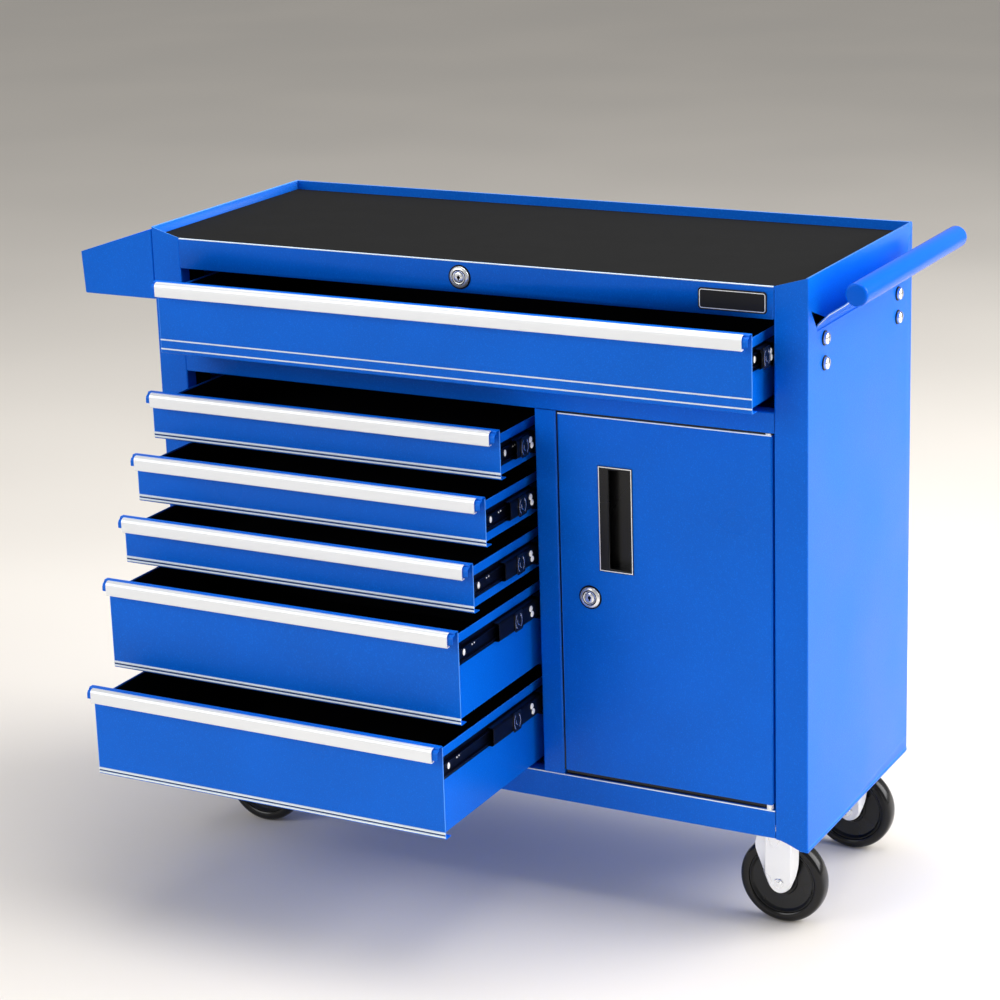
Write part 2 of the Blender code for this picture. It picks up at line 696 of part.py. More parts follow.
def add_caster(end, side, y, paint_fork, rubber):
    """A caster: the right pair is rigid, and the left pair swivels on a plate and trails its pin."""
    swivels = side == "left"
    x = -CASTER_X if swivels else CASTER_X
    wheel_x = x + TRAIL if swivels else x
    plate_top = FLOOR_Z - GAP
    across, along = PLATE_HALF
    plate_z = (plate_top - PLATE_SHEET, plate_top)
    plate = box((x - across, x + across), (y - along, y + along), plate_z)
    cheek_y = WHEEL_WIDTH / 2 + CHEEK_GAP
    axle = rod("Y", (wheel_x, AXLE_Z), AXLE_R, y - cheek_y - 0.003, y + cheek_y + 0.003)
    if swivels:
        race_low = plate_top - 0.0095
        race = rod("Z", (x, y), RACE_R, race_low, plate_top - 0.002, 24)
        plate = union(plate, race)
        add_object(f"caster_plate_{end}", plate, paint_fork)
        crown_top = race_low - GAP
        crown = rod("Z", (x, y), CROWN_R, crown_top - 0.003, crown_top, 24)
        bridge = box((x - 0.016, x + 0.030), (y - cheek_y, y + cheek_y), (crown_top - 0.003, crown_top))
        cheek_top = (x + 0.007, 0.023, crown_top - 0.001)
        body = union(crown, bridge)
    else:
        cheek_top = (x, 0.025, plate_top - 0.001)
        body = plate
    cheeks = [fork_cheek(cheek_top, (wheel_x, AXLE_Z), y + s * cheek_y) for s in (-1, 1)]
    origin = (x, y, plate_top)
    add_object(f"caster_fork_{end}_{side}", union(body, *cheeks, axle), paint_fork, origin)

    half = WHEEL_WIDTH / 2
    bore = AXLE_R + 0.0004
    hub = [(bore, 0.9), (0.013, 0.9), (0.016, 0.6)]
    rim = [(WHEEL_R - step, w) for step, w in ((0.014, 0.6), (0.011, 0.9), (0.004, 0.88))]
    crown = [(WHEEL_R - 0.0008, 0.5), (WHEEL_R, 0.0)]
    one_side = [(r, -half * w) for r, w in hub + rim + crown]
    other_side = [(r, -w) for r, w in one_side[::-1] if w]
    wheel = turned(one_side + other_side, (wheel_x, y, AXLE_Z), 32)
    name = f"wheel_{end}_{side}"
    add_object(name, wheel, rubber, (wheel_x, y, AXLE_Z), smooth=True)


def main():
    for thing in list(bpy.data.objects):
        bpy.data.objects.remove(thing)
    blue = painted("blue_powder_coat", (0.004, 0.105, 0.62), 0.32, 0.0)
    zinc = painted("zinc_plated_steel", (0.78, 0.79, 0.80), 0.28, 0.9)
    chrome = painted("chrome", (0.86, 0.86, 0.87), 0.12, 1.0)
    aluminium = painted("satin_aluminium", (0.86, 0.87, 0.89), 0.35, 0.8)
    black_steel = painted("black_steel", (0.02, 0.02, 0.022), 0.4, 0.5)
    black_plastic = painted("black_plastic", (0.012, 0.012, 0.013), 0.35, 0.0)
    mat_rubber = painted("mat_rubber", (0.03, 0.03, 0.03), 0.8, 0.0)
    tyre_rubber = painted("tyre_rubber", (0.025, 0.025, 0.027), 0.55, 0.0)
    nylon = painted("white_nylon", (0.85, 0.85, 0.83), 0.4, 0.0)

    frame = bpy.data.objects.new("cabinet_frame", None)
    frame.location = (*CENTRING, LIFT)
    bpy.context.collection.objects.link(frame)

    add_cabinet(blue, mat_rubber)
    add_side_bin(blue)
    add_handle(blue, zinc)
    add_name_plate(black_plastic)
    add_lock("top", TOP_LOCK, 0.028, math.pi, chrome)
    add_lock("door", DOOR_LOCK, 0.044, math.pi / 2, chrome)
    add_door(blue, black_plastic, nylon)
    add_slide_rails(black_steel)
    for i in range(len(DRAWER_BOTTOM_Z)):
        add_drawer(i, blue, aluminium)
        add_slide_members(i, black_steel)
    for end, y in (("front", -CASTER_Y), ("rear", CASTER_Y)):
        for side in ("left", "right"):
            add_caster(end, side, y, zinc, tyre_rubber)
    bpy.context.view_layer.update()


main()
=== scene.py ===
import math

import bmesh
import bpy
from mathutils import Matrix, Vector


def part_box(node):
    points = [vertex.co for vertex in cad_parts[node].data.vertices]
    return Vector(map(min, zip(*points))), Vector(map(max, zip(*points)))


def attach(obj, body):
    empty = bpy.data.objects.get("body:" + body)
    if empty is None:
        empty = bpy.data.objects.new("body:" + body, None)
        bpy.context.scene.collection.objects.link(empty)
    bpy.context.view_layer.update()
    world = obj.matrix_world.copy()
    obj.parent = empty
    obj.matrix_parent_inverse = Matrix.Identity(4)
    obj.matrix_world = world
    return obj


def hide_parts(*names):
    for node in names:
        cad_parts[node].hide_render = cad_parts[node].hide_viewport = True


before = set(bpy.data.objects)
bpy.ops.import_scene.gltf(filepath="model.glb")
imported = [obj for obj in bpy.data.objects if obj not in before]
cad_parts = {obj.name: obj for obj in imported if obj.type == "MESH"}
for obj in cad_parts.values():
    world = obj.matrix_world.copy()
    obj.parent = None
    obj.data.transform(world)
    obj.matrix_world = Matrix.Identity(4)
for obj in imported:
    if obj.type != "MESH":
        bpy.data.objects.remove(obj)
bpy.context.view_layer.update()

# The cabinet, as packed
CORNER_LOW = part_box("side_panel_left")[0]
CORNER_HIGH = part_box("side_panel_right")[1]
FRONT, BACK = CORNER_LOW.y, CORNER_HIGH.y
DRAWERS = range(1, 7)
CASTERS = [(end, side) for end in ("front", "rear") for side in ("left", "right")]

# Sheet-metal sizes, in metres like every length below
SHEET = 0.0012  # thickness of the sheets
FOLD = 0.0019  # outer radius of their bends
PULL_BACK = 0.0085  # from the back of a pull strip to the plane of its drawer front
SIDE_BELOW_TOP = 0.012  # from the top of a pull strip to the top of its tray
SIDE_INSET = 0.0099  # from the end of a drawer front to the side of its tray
DRAWER_LENGTH = 0.300

# How meshes are cleaned, smoothed and rounded
WELD, CAD_WELD = 1e-6, 2e-5
NO_AREA = 1e-14
FLAT_ANGLE = math.radians(0.25)
SAME_PLANE = math.radians(1)
SMOOTH_ANGLE = math.radians(35)
BEVEL_ANGLE = math.radians(32)
OVER = 0.01  # how far a cutter reaches past what it cuts
SHORTEST_BEND = 0.015
INNER_BEND = 0.0002  # least radius inside a bend


# ---------------------------------------------------------------- shapes


def prism(outline, axis, low, high):
    """A closed outline extruded along an axis; its points are the other two coordinates."""
    placed = {
        "X": lambda a, b, along: (along, a, b),
        "Y": lambda a, b, along: (a, along, b),
        "Z": lambda a, b, along: (a, b, along),
    }[axis]
    shape = bmesh.new()
    ends = [[shape.verts.new(placed(a, b, along)) for a, b in outline] for along in (low, high)]
    count = len(outline)
    shape.faces.new(ends[0])
    shape.faces.new(reversed(ends[1]))
    for i in range(count):
        j = (i + 1) % count
        shape.faces.new((ends[0][i], ends[1][i], ends[1][j], ends[0][j]))
    bmesh.ops.recalc_face_normals(shape, faces=shape.faces)
    return shape


def box(x, y, z):
    return prism([(x[0], y[0]), (x[1], y[0]), (x[1], y[1]), (x[0], y[1])], "Z", z[0], z[1])


def circle(centre, radius, sides=24, start=0.0, sweep=math.tau):
    """Points round a circle, or along an arc with both its ends when `sweep` is less."""
    count = sides if sweep == math.tau else sides + 1
    turns = [start + sweep * i / sides for i in range(count)]
    return [(centre[0] + radius * math.cos(a), centre[1] + radius * math.sin(a)) for a in turns]


def rod(axis, centre, radius, low, high, sides=24):
    return prism(circle(centre, radius, sides), axis, low, high)


def filleted(points, radii, steps=5):
    """An open path whose inner corners are rounded to the given radii."""
    points = [Vector(p) for p in points]
    out = [points[0]]
    for before, corner, after, radius in zip(points, points[1:], points[2:], radii):
        back = (before - corner).normalized()
        ahead = (after - corner).normalized()
        half = back.angle(ahead) / 2
        reach = radius / math.tan(half)
        centre = corner + (back + ahead).normalized() * radius / math.sin(half)
        first = corner + back * reach - centre
        last = corner + ahead * reach - centre
        turn = first.angle_signed(last)
        for i in range(steps + 1):
            out.append(centre + Matrix.Rotation(-turn * i / steps, 2) @ first)
    out.append(points[-1])
    return out


def folded(path, thickness=SHEET):
    """The closed outline of a sheet that follows `path`, with its thickness on the path's left."""
    points = [Vector(p) for p in path]
    normals = []
    for a, b in zip(points, points[1:]):
        along = (b - a).normalized()
        normals.append(Vector((-along.y, along.x)))
    inner = []
    for i, point in enumerate(points):
        before = normals[max(i - 1, 0)]
        after = normals[min(i, len(normals) - 1)]
        mitre = (before + after).normalized()
        inner.append(point + mitre * thickness / mitre.dot(before))
    return [tuple(p) for p in points + inner[::-1]]


def turned(profile, centre, axis="Y", sides=48):
    """A closed (radius, height) profile turned about an axis through `centre`."""
    placed = {
        "X": lambda r, c, s, h: (h, r * c, r * s),
        "Y": lambda r, c, s, h: (r * c, h, r * s),
        "Z": lambda r, c, s, h: (r * c, r * s, h),
    }[axis]
    shape = bmesh.new()
    rings = []
    for i in range(sides):
        a = 2 * math.pi * i / sides
        ring = []
        for r, h in profile:
            spot = Vector(placed(r, math.cos(a), math.sin(a), h)) + Vector(centre)
            ring.append(shape.verts.new(spot))
        rings.append(ring)
    count = len(profile)
    for i in range(sides):
        here, there = rings[i], rings[(i + 1) % sides]
        for j in range(count):
            k = (j + 1) % count
            shape.faces.new((here[j], here[k], there[k], there[j]))
    bmesh.ops.remove_doubles(shape, verts=shape.verts, dist=WELD)
    degenerate = [f for f in shape.faces if f.calc_area() < NO_AREA]
    bmesh.ops.delete(shape, geom=degenerate, context="FACES_ONLY")
    bmesh.ops.recalc_face_normals(shape, faces=shape.faces)
    return shape


def ringed(loops):
    """A closed frame of faces through loops that have the same number of points."""
    shape = bmesh.new()
    rings = [[shape.verts.new(point) for point in loop] for loop in loops]
    for a, b in zip(rings, rings[1:] + rings[:1]):
        for i in range(len(a)):
            j = (i + 1) % len(a)
            shape.faces.new((a[i], a[j], b[j], b[i]))
    return shape


def moved(shape, matrix):
    bmesh.ops.transform(shape, matrix=matrix, verts=shape.verts)
    return shape


def joined(*shapes):
    """Several shapes kept as separate shells of one piece."""
    whole = bmesh.new()
    for shape in shapes:
        mesh = bpy.data.meshes.new("helper")
        shape.to_mesh(mesh)
        shape.free()
        whole.from_mesh(mesh)
        bpy.data.meshes.remove(mesh)
    return whole


def cut(base, *cutters):
    """The base with the cutters taken out of it."""
    helpers = []
    for i, shape in enumerate([base, *cutters]):
        mesh = bpy.data.meshes.new("helper")
        shape.to_mesh(mesh)
        shape.free()
        helper = bpy.data.objects.new("helper", mesh)
        bpy.context.collection.objects.link(helper)
        helpers.append(helper)
        if i:
            modifier = helpers[0].modifiers.new("Cut", "BOOLEAN")
            modifier.operation = "DIFFERENCE"
            modifier.object = helper
    bpy.context.view_layer.update()
    result = bmesh.new()
    result.from_object(helpers[0], bpy.context.evaluated_depsgraph_get())
    for helper in helpers:
        mesh = helper.data
        bpy.data.objects.remove(helper)
        bpy.data.meshes.remove(mesh)
    return result


# ---------------------------------------------------------------- materials

DOT_SHADE = (1.8, 0.004)  # factor and lift of the lighter dots in the paint
ROUGH_RANGE = 0.15
GRAIN_DEPTH = 0.0004


def node(tree, kind, **settings):
    made = tree.nodes.new(kind)
    for key, value in settings.items():
        setattr(made, key, value)
    return made


def noise(tree, coordinates, scale, detail):
    made = node(tree, "ShaderNodeTexNoise")
    made.inputs["Scale"].default_value = scale
    made.inputs["Detail"].default_value = detail
    made.inputs["Roughness"].default_value = 0.5
    tree.links.new(coordinates, made.inputs["Vector"])
    return made.outputs["Fac"]


def ramp(tree, factor, low, high, start=0.2, end=0.8):
    """Turns factors from `start` to `end` smoothly into values from `low` to `high`."""
    made = node(tree, "ShaderNodeMapRange", interpolation_type="SMOOTHSTEP")
    tree.links.new(factor, made.inputs["Value"])
    made.inputs["From Min"].default_value = start
    made.inputs["From Max"].default_value = end
    made.inputs["To Min"].default_value = low
    made.inputs["To Max"].default_value = high
    return made.outputs["Result"]


def shades(color, factor, lift=0.0):
    return (*[min(1.0, c * factor + lift) for c in color], 1.0)


def surface(
    name,
    color,
    rough,
    metallic=0.0,
    tint=0.08,
    patch=9.0,
    grain=420.0,
    bump=0.05,
    speckle=0.0,
    stretch=(1.0, 1.0, 1.0),
    specular=0.5,
):
    """A finish whose colour and roughness vary slowly, with a fine grain in its surface.

    `tint` is how far the colour strays and `speckle` how strongly lighter dots show; `patch` and
    `grain` are the frequencies of the slow and the fine noise.
    """
    material = bpy.data.materials.new(name)
    material.use_nodes = True
    tree = material.node_tree
    shader = tree.nodes["Principled BSDF"]
    shader.inputs["Metallic"].default_value = metallic
    shader.inputs["Specular IOR Level"].default_value = specular
    place = node(tree, "ShaderNodeTexCoord")
    mapping = node(tree, "ShaderNodeMapping")
    mapping.inputs["Scale"].default_value = stretch
    tree.links.new(place.outputs["Object"], mapping.inputs["Vector"])
    spot = mapping.outputs["Vector"]

    slow = noise(tree, spot, patch, 1.0)
    fine = noise(tree, spot, grain, 2.0)
    mix = node(tree, "ShaderNodeMix", data_type="RGBA")
    tree.links.new(ramp(tree, slow, 0.0, 1.0), mix.inputs["Factor"])
    mix.inputs["A"].default_value = shades(color, 1 - tint)
    mix.inputs["B"].default_value = shades(color, 1 + tint)
    shade = mix.outputs["Result"]
    if speckle:
        dots = node(tree, "ShaderNodeMix", data_type="RGBA")
        tree.links.new(ramp(tree, fine, 0.0, speckle, 0.5, 0.75), dots.inputs["Factor"])
        tree.links.new(shade, dots.inputs["A"])
        dots.inputs["B"].default_value = shades(color, *DOT_SHADE)
        shade = dots.outputs["Result"]
    tree.links.new(shade, shader.inputs["Base Color"])
    gloss = ramp(tree, slow, rough * (1 - ROUGH_RANGE), rough * (1 + ROUGH_RANGE))
    tree.links.new(gloss, shader.inputs["Roughness"])
    relief = node(tree, "ShaderNodeBump")
    relief.inputs["Strength"].default_value = bump
    relief.inputs["Distance"].default_value = GRAIN_DEPTH
    tree.links.new(fine, relief.inputs["Height"])
    tree.links.new(relief.outputs["Normal"], shader.inputs["Normal"])
    return material


PAINT = surface(
    "powder_coat", (0.0003, 0.130, 0.70), 0.32, tint=0.05, grain=620, bump=0.42, speckle=0.36,
    specular=0.14,
)
# A lighter blue for edges and bevels: painted highlight along them
EDGE_HIGHLIGHT_PAINT = surface("painted_edge_highlight", (0.06, 0.30, 0.95), 0.24, tint=0.05, bump=0.04)
# A near-white paint for beads and hems: painted highlight
PALE_HIGHLIGHT_PAINT = surface("painted_hem_highlight", (0.82, 0.92, 1.0), 0.25, tint=0.04, bump=0.03)
TUBE_PAINT = surface(
    "powder_coat_tube", (0.0002, 0.112, 0.70), 0.20, tint=0.03, bump=0.05, specular=0.10
)
ALUMINIUM = surface(
    "satin_aluminium", (0.87, 0.895, 0.93), 0.42, metallic=0.55, tint=0.03, grain=260,
    bump=0.05, stretch=(0.06, 1.0, 1.0),
)
BLACK_STEEL = surface(
    "black_slide_steel", (0.0025, 0.0025, 0.0045), 0.34, metallic=0.2, bump=0.05, specular=0.22
)
SLIDE_NAVY = surface(
    "slide_runner_steel", (0.0012, 0.0018, 0.0070), 0.34, metallic=0.2, bump=0.05, specular=0.18
)
LOCK_METAL = surface("satin_chrome", (0.90, 0.91, 0.92), 0.22, metallic=0.7, tint=0.03, bump=0.02)
ZINC = surface("zinc_plate", (0.95, 0.96, 0.97), 0.30, metallic=0.5, tint=0.01, patch=20, bump=0.01)
CHROME = surface("polished_chrome", (0.92, 0.93, 0.94), 0.17, metallic=0.85, tint=0.02, bump=0.01)
# Near-black metal, also used for rings and bars of painted shade in grooves, slots and keyholes
DARK_METAL_AND_SHADE = surface(
    "dark_metal_and_painted_shade", (0.004, 0.004, 0.005), 0.35, metallic=0.3, bump=0.03, specular=0.2
)
# Black plastic, also used for strips of painted shade in gaps and grooves
BLACK_PLASTIC_AND_SHADE = surface(
    "black_plastic", (0.004, 0.004, 0.0045), 0.28, tint=0.1, grain=900, bump=0.05, specular=0.35
)
PLATE_BLACK = surface(
    "plate_black", (0.007, 0.007, 0.0085), 0.38, tint=0.1, grain=900, bump=0.05, specular=0.25
)
MAT_RUBBER = surface(
    "mat_rubber", (0.0145, 0.0145, 0.0145), 0.95, tint=0.05, patch=14, grain=900, bump=0.5,
    speckle=0.05, specular=0.04,
)
# A near-black lining inside each drawer: painted shade for its dark inside
SHADE_LINING = surface(
    "drawer_shade_lining", (0.0035, 0.0037, 0.006), 0.85, tint=0.2, grain=700, bump=0.5, specular=0.1
)
TYRE = surface(
    "tyre_rubber", (0.003, 0.003, 0.0034), 0.21, tint=0.15, patch=40, grain=600, bump=0.04,
    specular=0.36,
)
CORE = surface(
    "wheel_core", (0.0075, 0.008, 0.009), 0.30, tint=0.12, patch=40, grain=800, bump=0.05,
    specular=0.4,
)
NYLON = surface("white_nylon", (0.95, 0.95, 0.93), 0.40, tint=0.03, bump=0.03)


# ---------------------------------------------------------------- pieces


def piece(name, shape, material, body, replaces=(), bevel=0.0, segments=2, weighted=False):
    """Makes a shape into a piece that rides on a body, with its edges rounded when `bevel` is set.

    A `weighted` shape says itself, by its bevel weights, which of its edges are rounded.
    """
    mesh = bpy.data.meshes.new(name)
    bmesh.ops.recalc_face_normals(shape, faces=shape.faces)
    shape.to_mesh(mesh)
    shape.free()
    mesh.materials.append(material)
    # A painted piece gets a second slot with the lighter blue of painted edge highlight
    if material == PAINT:
        mesh.materials.append(EDGE_HIGHLIGHT_PAINT)
    mesh.shade_smooth()
    if weighted or not bevel:
        mesh.set_sharp_from_angle(angle=SMOOTH_ANGLE)
    thing = bpy.data.objects.new(name, mesh)
    bpy.context.scene.collection.objects.link(thing)
    if bevel:
        modifier = thing.modifiers.new("Rounded edges", "BEVEL")
        modifier.width = bevel
        modifier.segments = segments
        modifier.limit_method = "WEIGHT" if weighted else "ANGLE"
        modifier.angle_limit = BEVEL_ANGLE
        modifier.harden_normals = True
        modifier.use_clamp_overlap = not weighted
        # The bevels of a painted piece that isn't weighted take the painted edge highlight
        modifier.material = 1 if material == PAINT and not weighted else -1
    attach(thing, body)
    if replaces:
        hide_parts(*replaces)


def runs_back(loop, reach):
    """Whether the loop's face is at least `reach` wide behind the middle of the loop's edge."""
    start, end = loop.vert.co, loop.link_loop_next.vert.co
    inward = loop.face.normal.cross((end - start).normalized())
    return bmesh.geometry.intersect_face_point(loop.face, (start + end) / 2 + inward * reach)


def refined(name, material, body="cabinet", fold=FOLD, narrow=0.0035):
    """The CAD node's own shape with its bends rounded, and its cut edges in a lighter blue that is
    painted highlight.
    """
    shape = bmesh.new()
    shape.from_mesh(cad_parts[name].data)
    bmesh.ops.remove_doubles(shape, verts=shape.verts, dist=CAD_WELD)
    bmesh.ops.dissolve_limit(shape, angle_limit=FLAT_ANGLE, verts=shape.verts, edges=shape.edges)
    bmesh.ops.recalc_face_normals(shape, faces=shape.faces)
    weight = shape.edges.layers.float.new("bevel_weight_edge")
    for face in shape.faces:
        longest = max(face.loops, key=lambda loop: loop.edge.calc_length())
        alone = all(edge.calc_face_angle(0.0) > SAME_PLANE for edge in face.edges)
        # Slim faces along the cut edges take the painted edge highlight
        slim = material == PAINT and alone and not runs_back(longest, narrow)
        face.material_index = 1 if slim else 0
    for one in shape.edges:
        if len(one.link_faces) != 2 or one.calc_face_angle(0.0) < BEVEL_ANGLE:
            continue
        if one.calc_length() > SHORTEST_BEND and all(
            runs_back(loop, narrow) for loop in one.link_loops
        ):
            one[weight] = 1.0 if one.is_convex else max(fold - SHEET, INNER_BEND) / fold
    piece(name + "_sheet", shape, material, body, (name,), fold, 3, weighted=True)


FRONT_BEAD = 0.0008
BETWEEN_STILES = 0.41  # half of the width that lies between the cabinet's stiles
# Black strips in the gaps round the door are painted shade: their clearance and their depths
SHADE_CLEARANCE = 0.0003
SHADE_DEPTH, SHADE_FOOT_DEPTH = (0.0014, 0.0045), (0.0040, 0.0060)  # behind the cabinet's front


def edge_lines(name, lines, material, body, radius=0.0006):
    """Thin round beads between pairs of points; in the pale paints they are painted highlights
    along edges.
    """
    beads = []
    for start, end in lines:
        start, end = Vector(start), Vector(end)
        bead = rod("Z", (0.0, 0.0), radius, 0.0, (end - start).length, 8)
        turn = (end - start).to_track_quat("Z", "Y").to_matrix().to_4x4()
        beads.append(moved(bead, Matrix.Translation(start) @ turn))
    piece(name, joined(*beads), material, body)


def add_cabinet():
    """The sheets that are used as the CAD gives them, with their bends rounded."""
    for name in (
        "side_panel_left",
        "side_panel_right",
        "back_panel",
        "bottom_panel",
        "top_tray",
        "mid_rail",
        "bottom_rail",
        "centre_partition",
        "side_bin",
    ):
        refined(name, PAINT)
    refined("handle_bracket", PAINT, fold=0.001)
    refined("worktop_mat", MAT_RUBBER, fold=0.0008)
    for name in ("slide_rack_left", "slide_rack_centre", "slide_rail_top_right"):
        refined(name, BLACK_STEEL, fold=0.0012)
    refined("door_panel", PAINT, "door")
    add_edges()


def add_edges():
    """Beads of painted highlight along the front's folds, black strips of painted shade in the gaps
    round the door, and beads of painted highlight along the side seams.
    """
    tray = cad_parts["top_tray"].data.vertices
    front_fold = [v.co for v in tray if v.co.y < FRONT + 0.0020 and abs(v.co.x) < BETWEEN_STILES]
    crown = max(spot.z for spot in front_fold)
    rail_low, rail_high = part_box("bottom_rail")
    door_low, door_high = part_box("door_panel")
    inset, end = 0.0005, 0.001

    def front_line(left, right, z):
        return (left, FRONT + inset, z - inset), (right, FRONT + inset, z - inset)

    # Beads in the near-white paint along the rails' and the door's top edges: painted highlight
    lines = [front_line(rail_low.x, rail_high.x, z) for z in (crown, rail_high.z)]
    edge_lines("cabinet_edge_beads", lines, PALE_HIGHLIGHT_PAINT, "cabinet", FRONT_BEAD)
    lines = [front_line(door_low.x + end, door_high.x - end, door_high.z)]
    edge_lines("door_edge_beads", lines, PALE_HIGHLIGHT_PAINT, "door", FRONT_BEAD)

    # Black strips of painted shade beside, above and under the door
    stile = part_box("centre_partition")[1].x
    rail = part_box("mid_rail")[0].z
    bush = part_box("door_hinge_lower")[0].x
    depth, foot_depth = [[FRONT + y for y in span] for span in (SHADE_DEPTH, SHADE_FOOT_DEPTH)]
    side = box((stile + 0.0001, door_low.x - SHADE_CLEARANCE), depth, (door_low.z, rail - SHADE_CLEARANCE))
    height = (door_high.z + SHADE_CLEARANCE, rail - 0.0002)
    top = box((door_low.x - 0.0002, door_high.x), depth, height)
    height = (rail_high.z + SHADE_CLEARANCE, door_low.z - 0.0004)
    foot = box((door_low.x, bush - 0.001), foot_depth, height)
    piece("door_gap_shade", joined(side, top, foot), BLACK_PLASTIC_AND_SHADE, "cabinet")

    # Beads in the lighter blue along the side seams: painted highlight
    seam, sunk = CORNER_LOW.z + 0.0045, 0.0003
    lines = [
        ((x, FRONT + end, seam), (x, BACK - end, seam))
        for x in (CORNER_LOW.x + sunk, CORNER_HIGH.x - sunk)
    ]
    edge_lines("side_panel_edge_beads", lines, EDGE_HIGHLIGHT_PAINT, "cabinet")


def add_handle():
    """The tube, open at its ends by a pinhole, with a small plug in each."""
    low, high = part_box("push_handle")
    radius = (high.x - low.x) / 2
    half = (high.y - low.y) / 2
    centre = (low + high) / 2
    vent, wall, cap, round_off, arc_steps = 0.0012, 0.0016, 0.002, 0.0034, 6
    end = [(radius - wall, half - cap), (vent, half - cap), (vent, half)]
    for i in range(arc_steps + 1):
        a = math.pi / 2 * (1 - i / arc_steps)
        end.append(
            (radius - round_off * (1 - math.cos(a)), half - round_off * (1 - math.sin(a)))
        )
    profile = end + [(r, -y) for r, y in end[::-1]]
    shape = turned(profile, centre, "Y", 64)
    piece("push_handle_tube", shape, TUBE_PAINT, "cabinet", ("push_handle",))
    plug_radius, plug_front, plug_back = vent * 1.6, 0.0001, 0.0012
    plugs = []
    for y, sign in ((low.y, 1), (high.y, -1)):
        plug = [(0.0, y + sign * plug_front), (plug_radius, y + sign * plug_front)]
        plug += [(plug_radius, y + sign * plug_back), (0.0, y + sign * plug_back)]
        plugs.append(turned([(r, h - centre.y) for r, h in plug], centre, "Y", 16))
    piece("push_handle_end_plugs", joined(*plugs), TUBE_PAINT, "cabinet")


def add_rolled_edges():
    """The rolled lower edge of each side wall."""
    radius, proud, end = 0.0022, 0.0005, 0.0012
    z = CORNER_LOW.z + radius
    rolls = [
        rod("Y", (x, z), radius, FRONT + end, BACK - end, 20)
        for x in (CORNER_LOW.x + radius - proud, CORNER_HIGH.x - radius + proud)
    ]
    piece("side_panel_rolled_edges", joined(*rolls), PAINT, "cabinet")


# The bracket's edge from the wall's slot to the tube: out from the wall, up from its lower end
BRACKET_EDGE = ((0.0, 0.0660), (0.0126, 0.0786), (0.0303, 0.0900), (0.0438, 0.1007))


def add_bracket_bead():
    """A bead in the near-white paint along the front edge of the bracket: a painted highlight."""
    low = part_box("handle_bracket")[0]
    path = [(CORNER_HIGH.x + reach, low.y, low.z + rise) for reach, rise in BRACKET_EDGE]
    lines = list(zip(path, path[1:]))
    edge_lines("handle_bracket_edge_bead", lines, PALE_HIGHLIGHT_PAINT, "cabinet", 0.0005)


BOLT_PITCH = 0.028
NUT_PLATE = 0.003
SHANK_RADIUS = 0.003
HEAD_RADIUS, HEAD_RIM, HEAD_DOME = 0.0069, 0.0036, 0.0026
HEAD_STEPS = 8
SLOT_TILTS = (0.2, -0.15)
SLOT_FLOOR, SLOT_HALF, SLOT_REACH = 0.0034, 0.0011, 0.008
# A dark bar in each slot is painted shade in the slot's depth
DARK_DEPTH, DARK_HALF, DARK_LENGTH = (0.0030, 0.0055), 0.0012, 0.0046  # what shows in a slot
# A dark washer under each head, which also stands in for the head's shadow
WASHER = ((0.0050, 0.0001), (0.0085, 0.0001), (0.0083, 0.0012), (0.0050, 0.0012))


def add_bolts():
    """Round slotted heads outside the wall, with their shanks and nut plate inside."""
    for end in ("front", "rear"):
        name = f"handle_bolts_{end}"
        low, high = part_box(name)
        y, middle = (low.y + high.y) / 2, (low.z + high.z) / 2
        wall = CORNER_HIGH.x
        heights = (middle - BOLT_PITCH / 2, middle + BOLT_PITCH / 2)
        parts = [box((low.x, low.x + NUT_PLATE), (low.y, high.y), (low.z, high.z))]
        dark = []
        for z, tilt in zip(heights, SLOT_TILTS):
            dome = [(0.0, 0.0003), (HEAD_RADIUS, 0.0003)]
            for i in range(HEAD_STEPS):
                a = math.pi / 2 * i / HEAD_STEPS
                dome.append((HEAD_RADIUS * math.cos(a), HEAD_RIM + HEAD_DOME * math.sin(a)))
            dome.append((0.0, HEAD_RIM + HEAD_DOME))
            head = turned(dome, (wall, y, z), "X", 32)
            place = Matrix.Translation((wall, y, z)) @ Matrix.Rotation(tilt, 4, "X")
            slot = box((SLOT_FLOOR, OVER), (-SLOT_HALF, SLOT_HALF), (-SLOT_REACH, SLOT_REACH))
            parts.append(cut(head, moved(slot, place)))
            parts.append(rod("X", (y, z), SHANK_RADIUS, low.x + 0.002, wall + 0.001, 16))
            # The dark bar in the slot: painted shade
            floor = box(DARK_DEPTH, (-DARK_HALF, DARK_HALF), (-DARK_LENGTH, DARK_LENGTH))
            dark.append(moved(floor, place))
        piece(name + "_slotted", joined(*parts), CHROME, "cabinet", (name,))
        # Dark washers, which also stand in for the heads' shadows
        dark += [turned(WASHER, (wall, y, z), "X", 32) for z in heights]
        piece(name + "_washers_and_shade", joined(*dark), DARK_METAL_AND_SHADE, "cabinet")


PLATE_ROUND = 0.004
BORDER_OUTER, BORDER_INNER = (0.0016, 0.0030), (0.0024, 0.0022)  # inset, corner radius


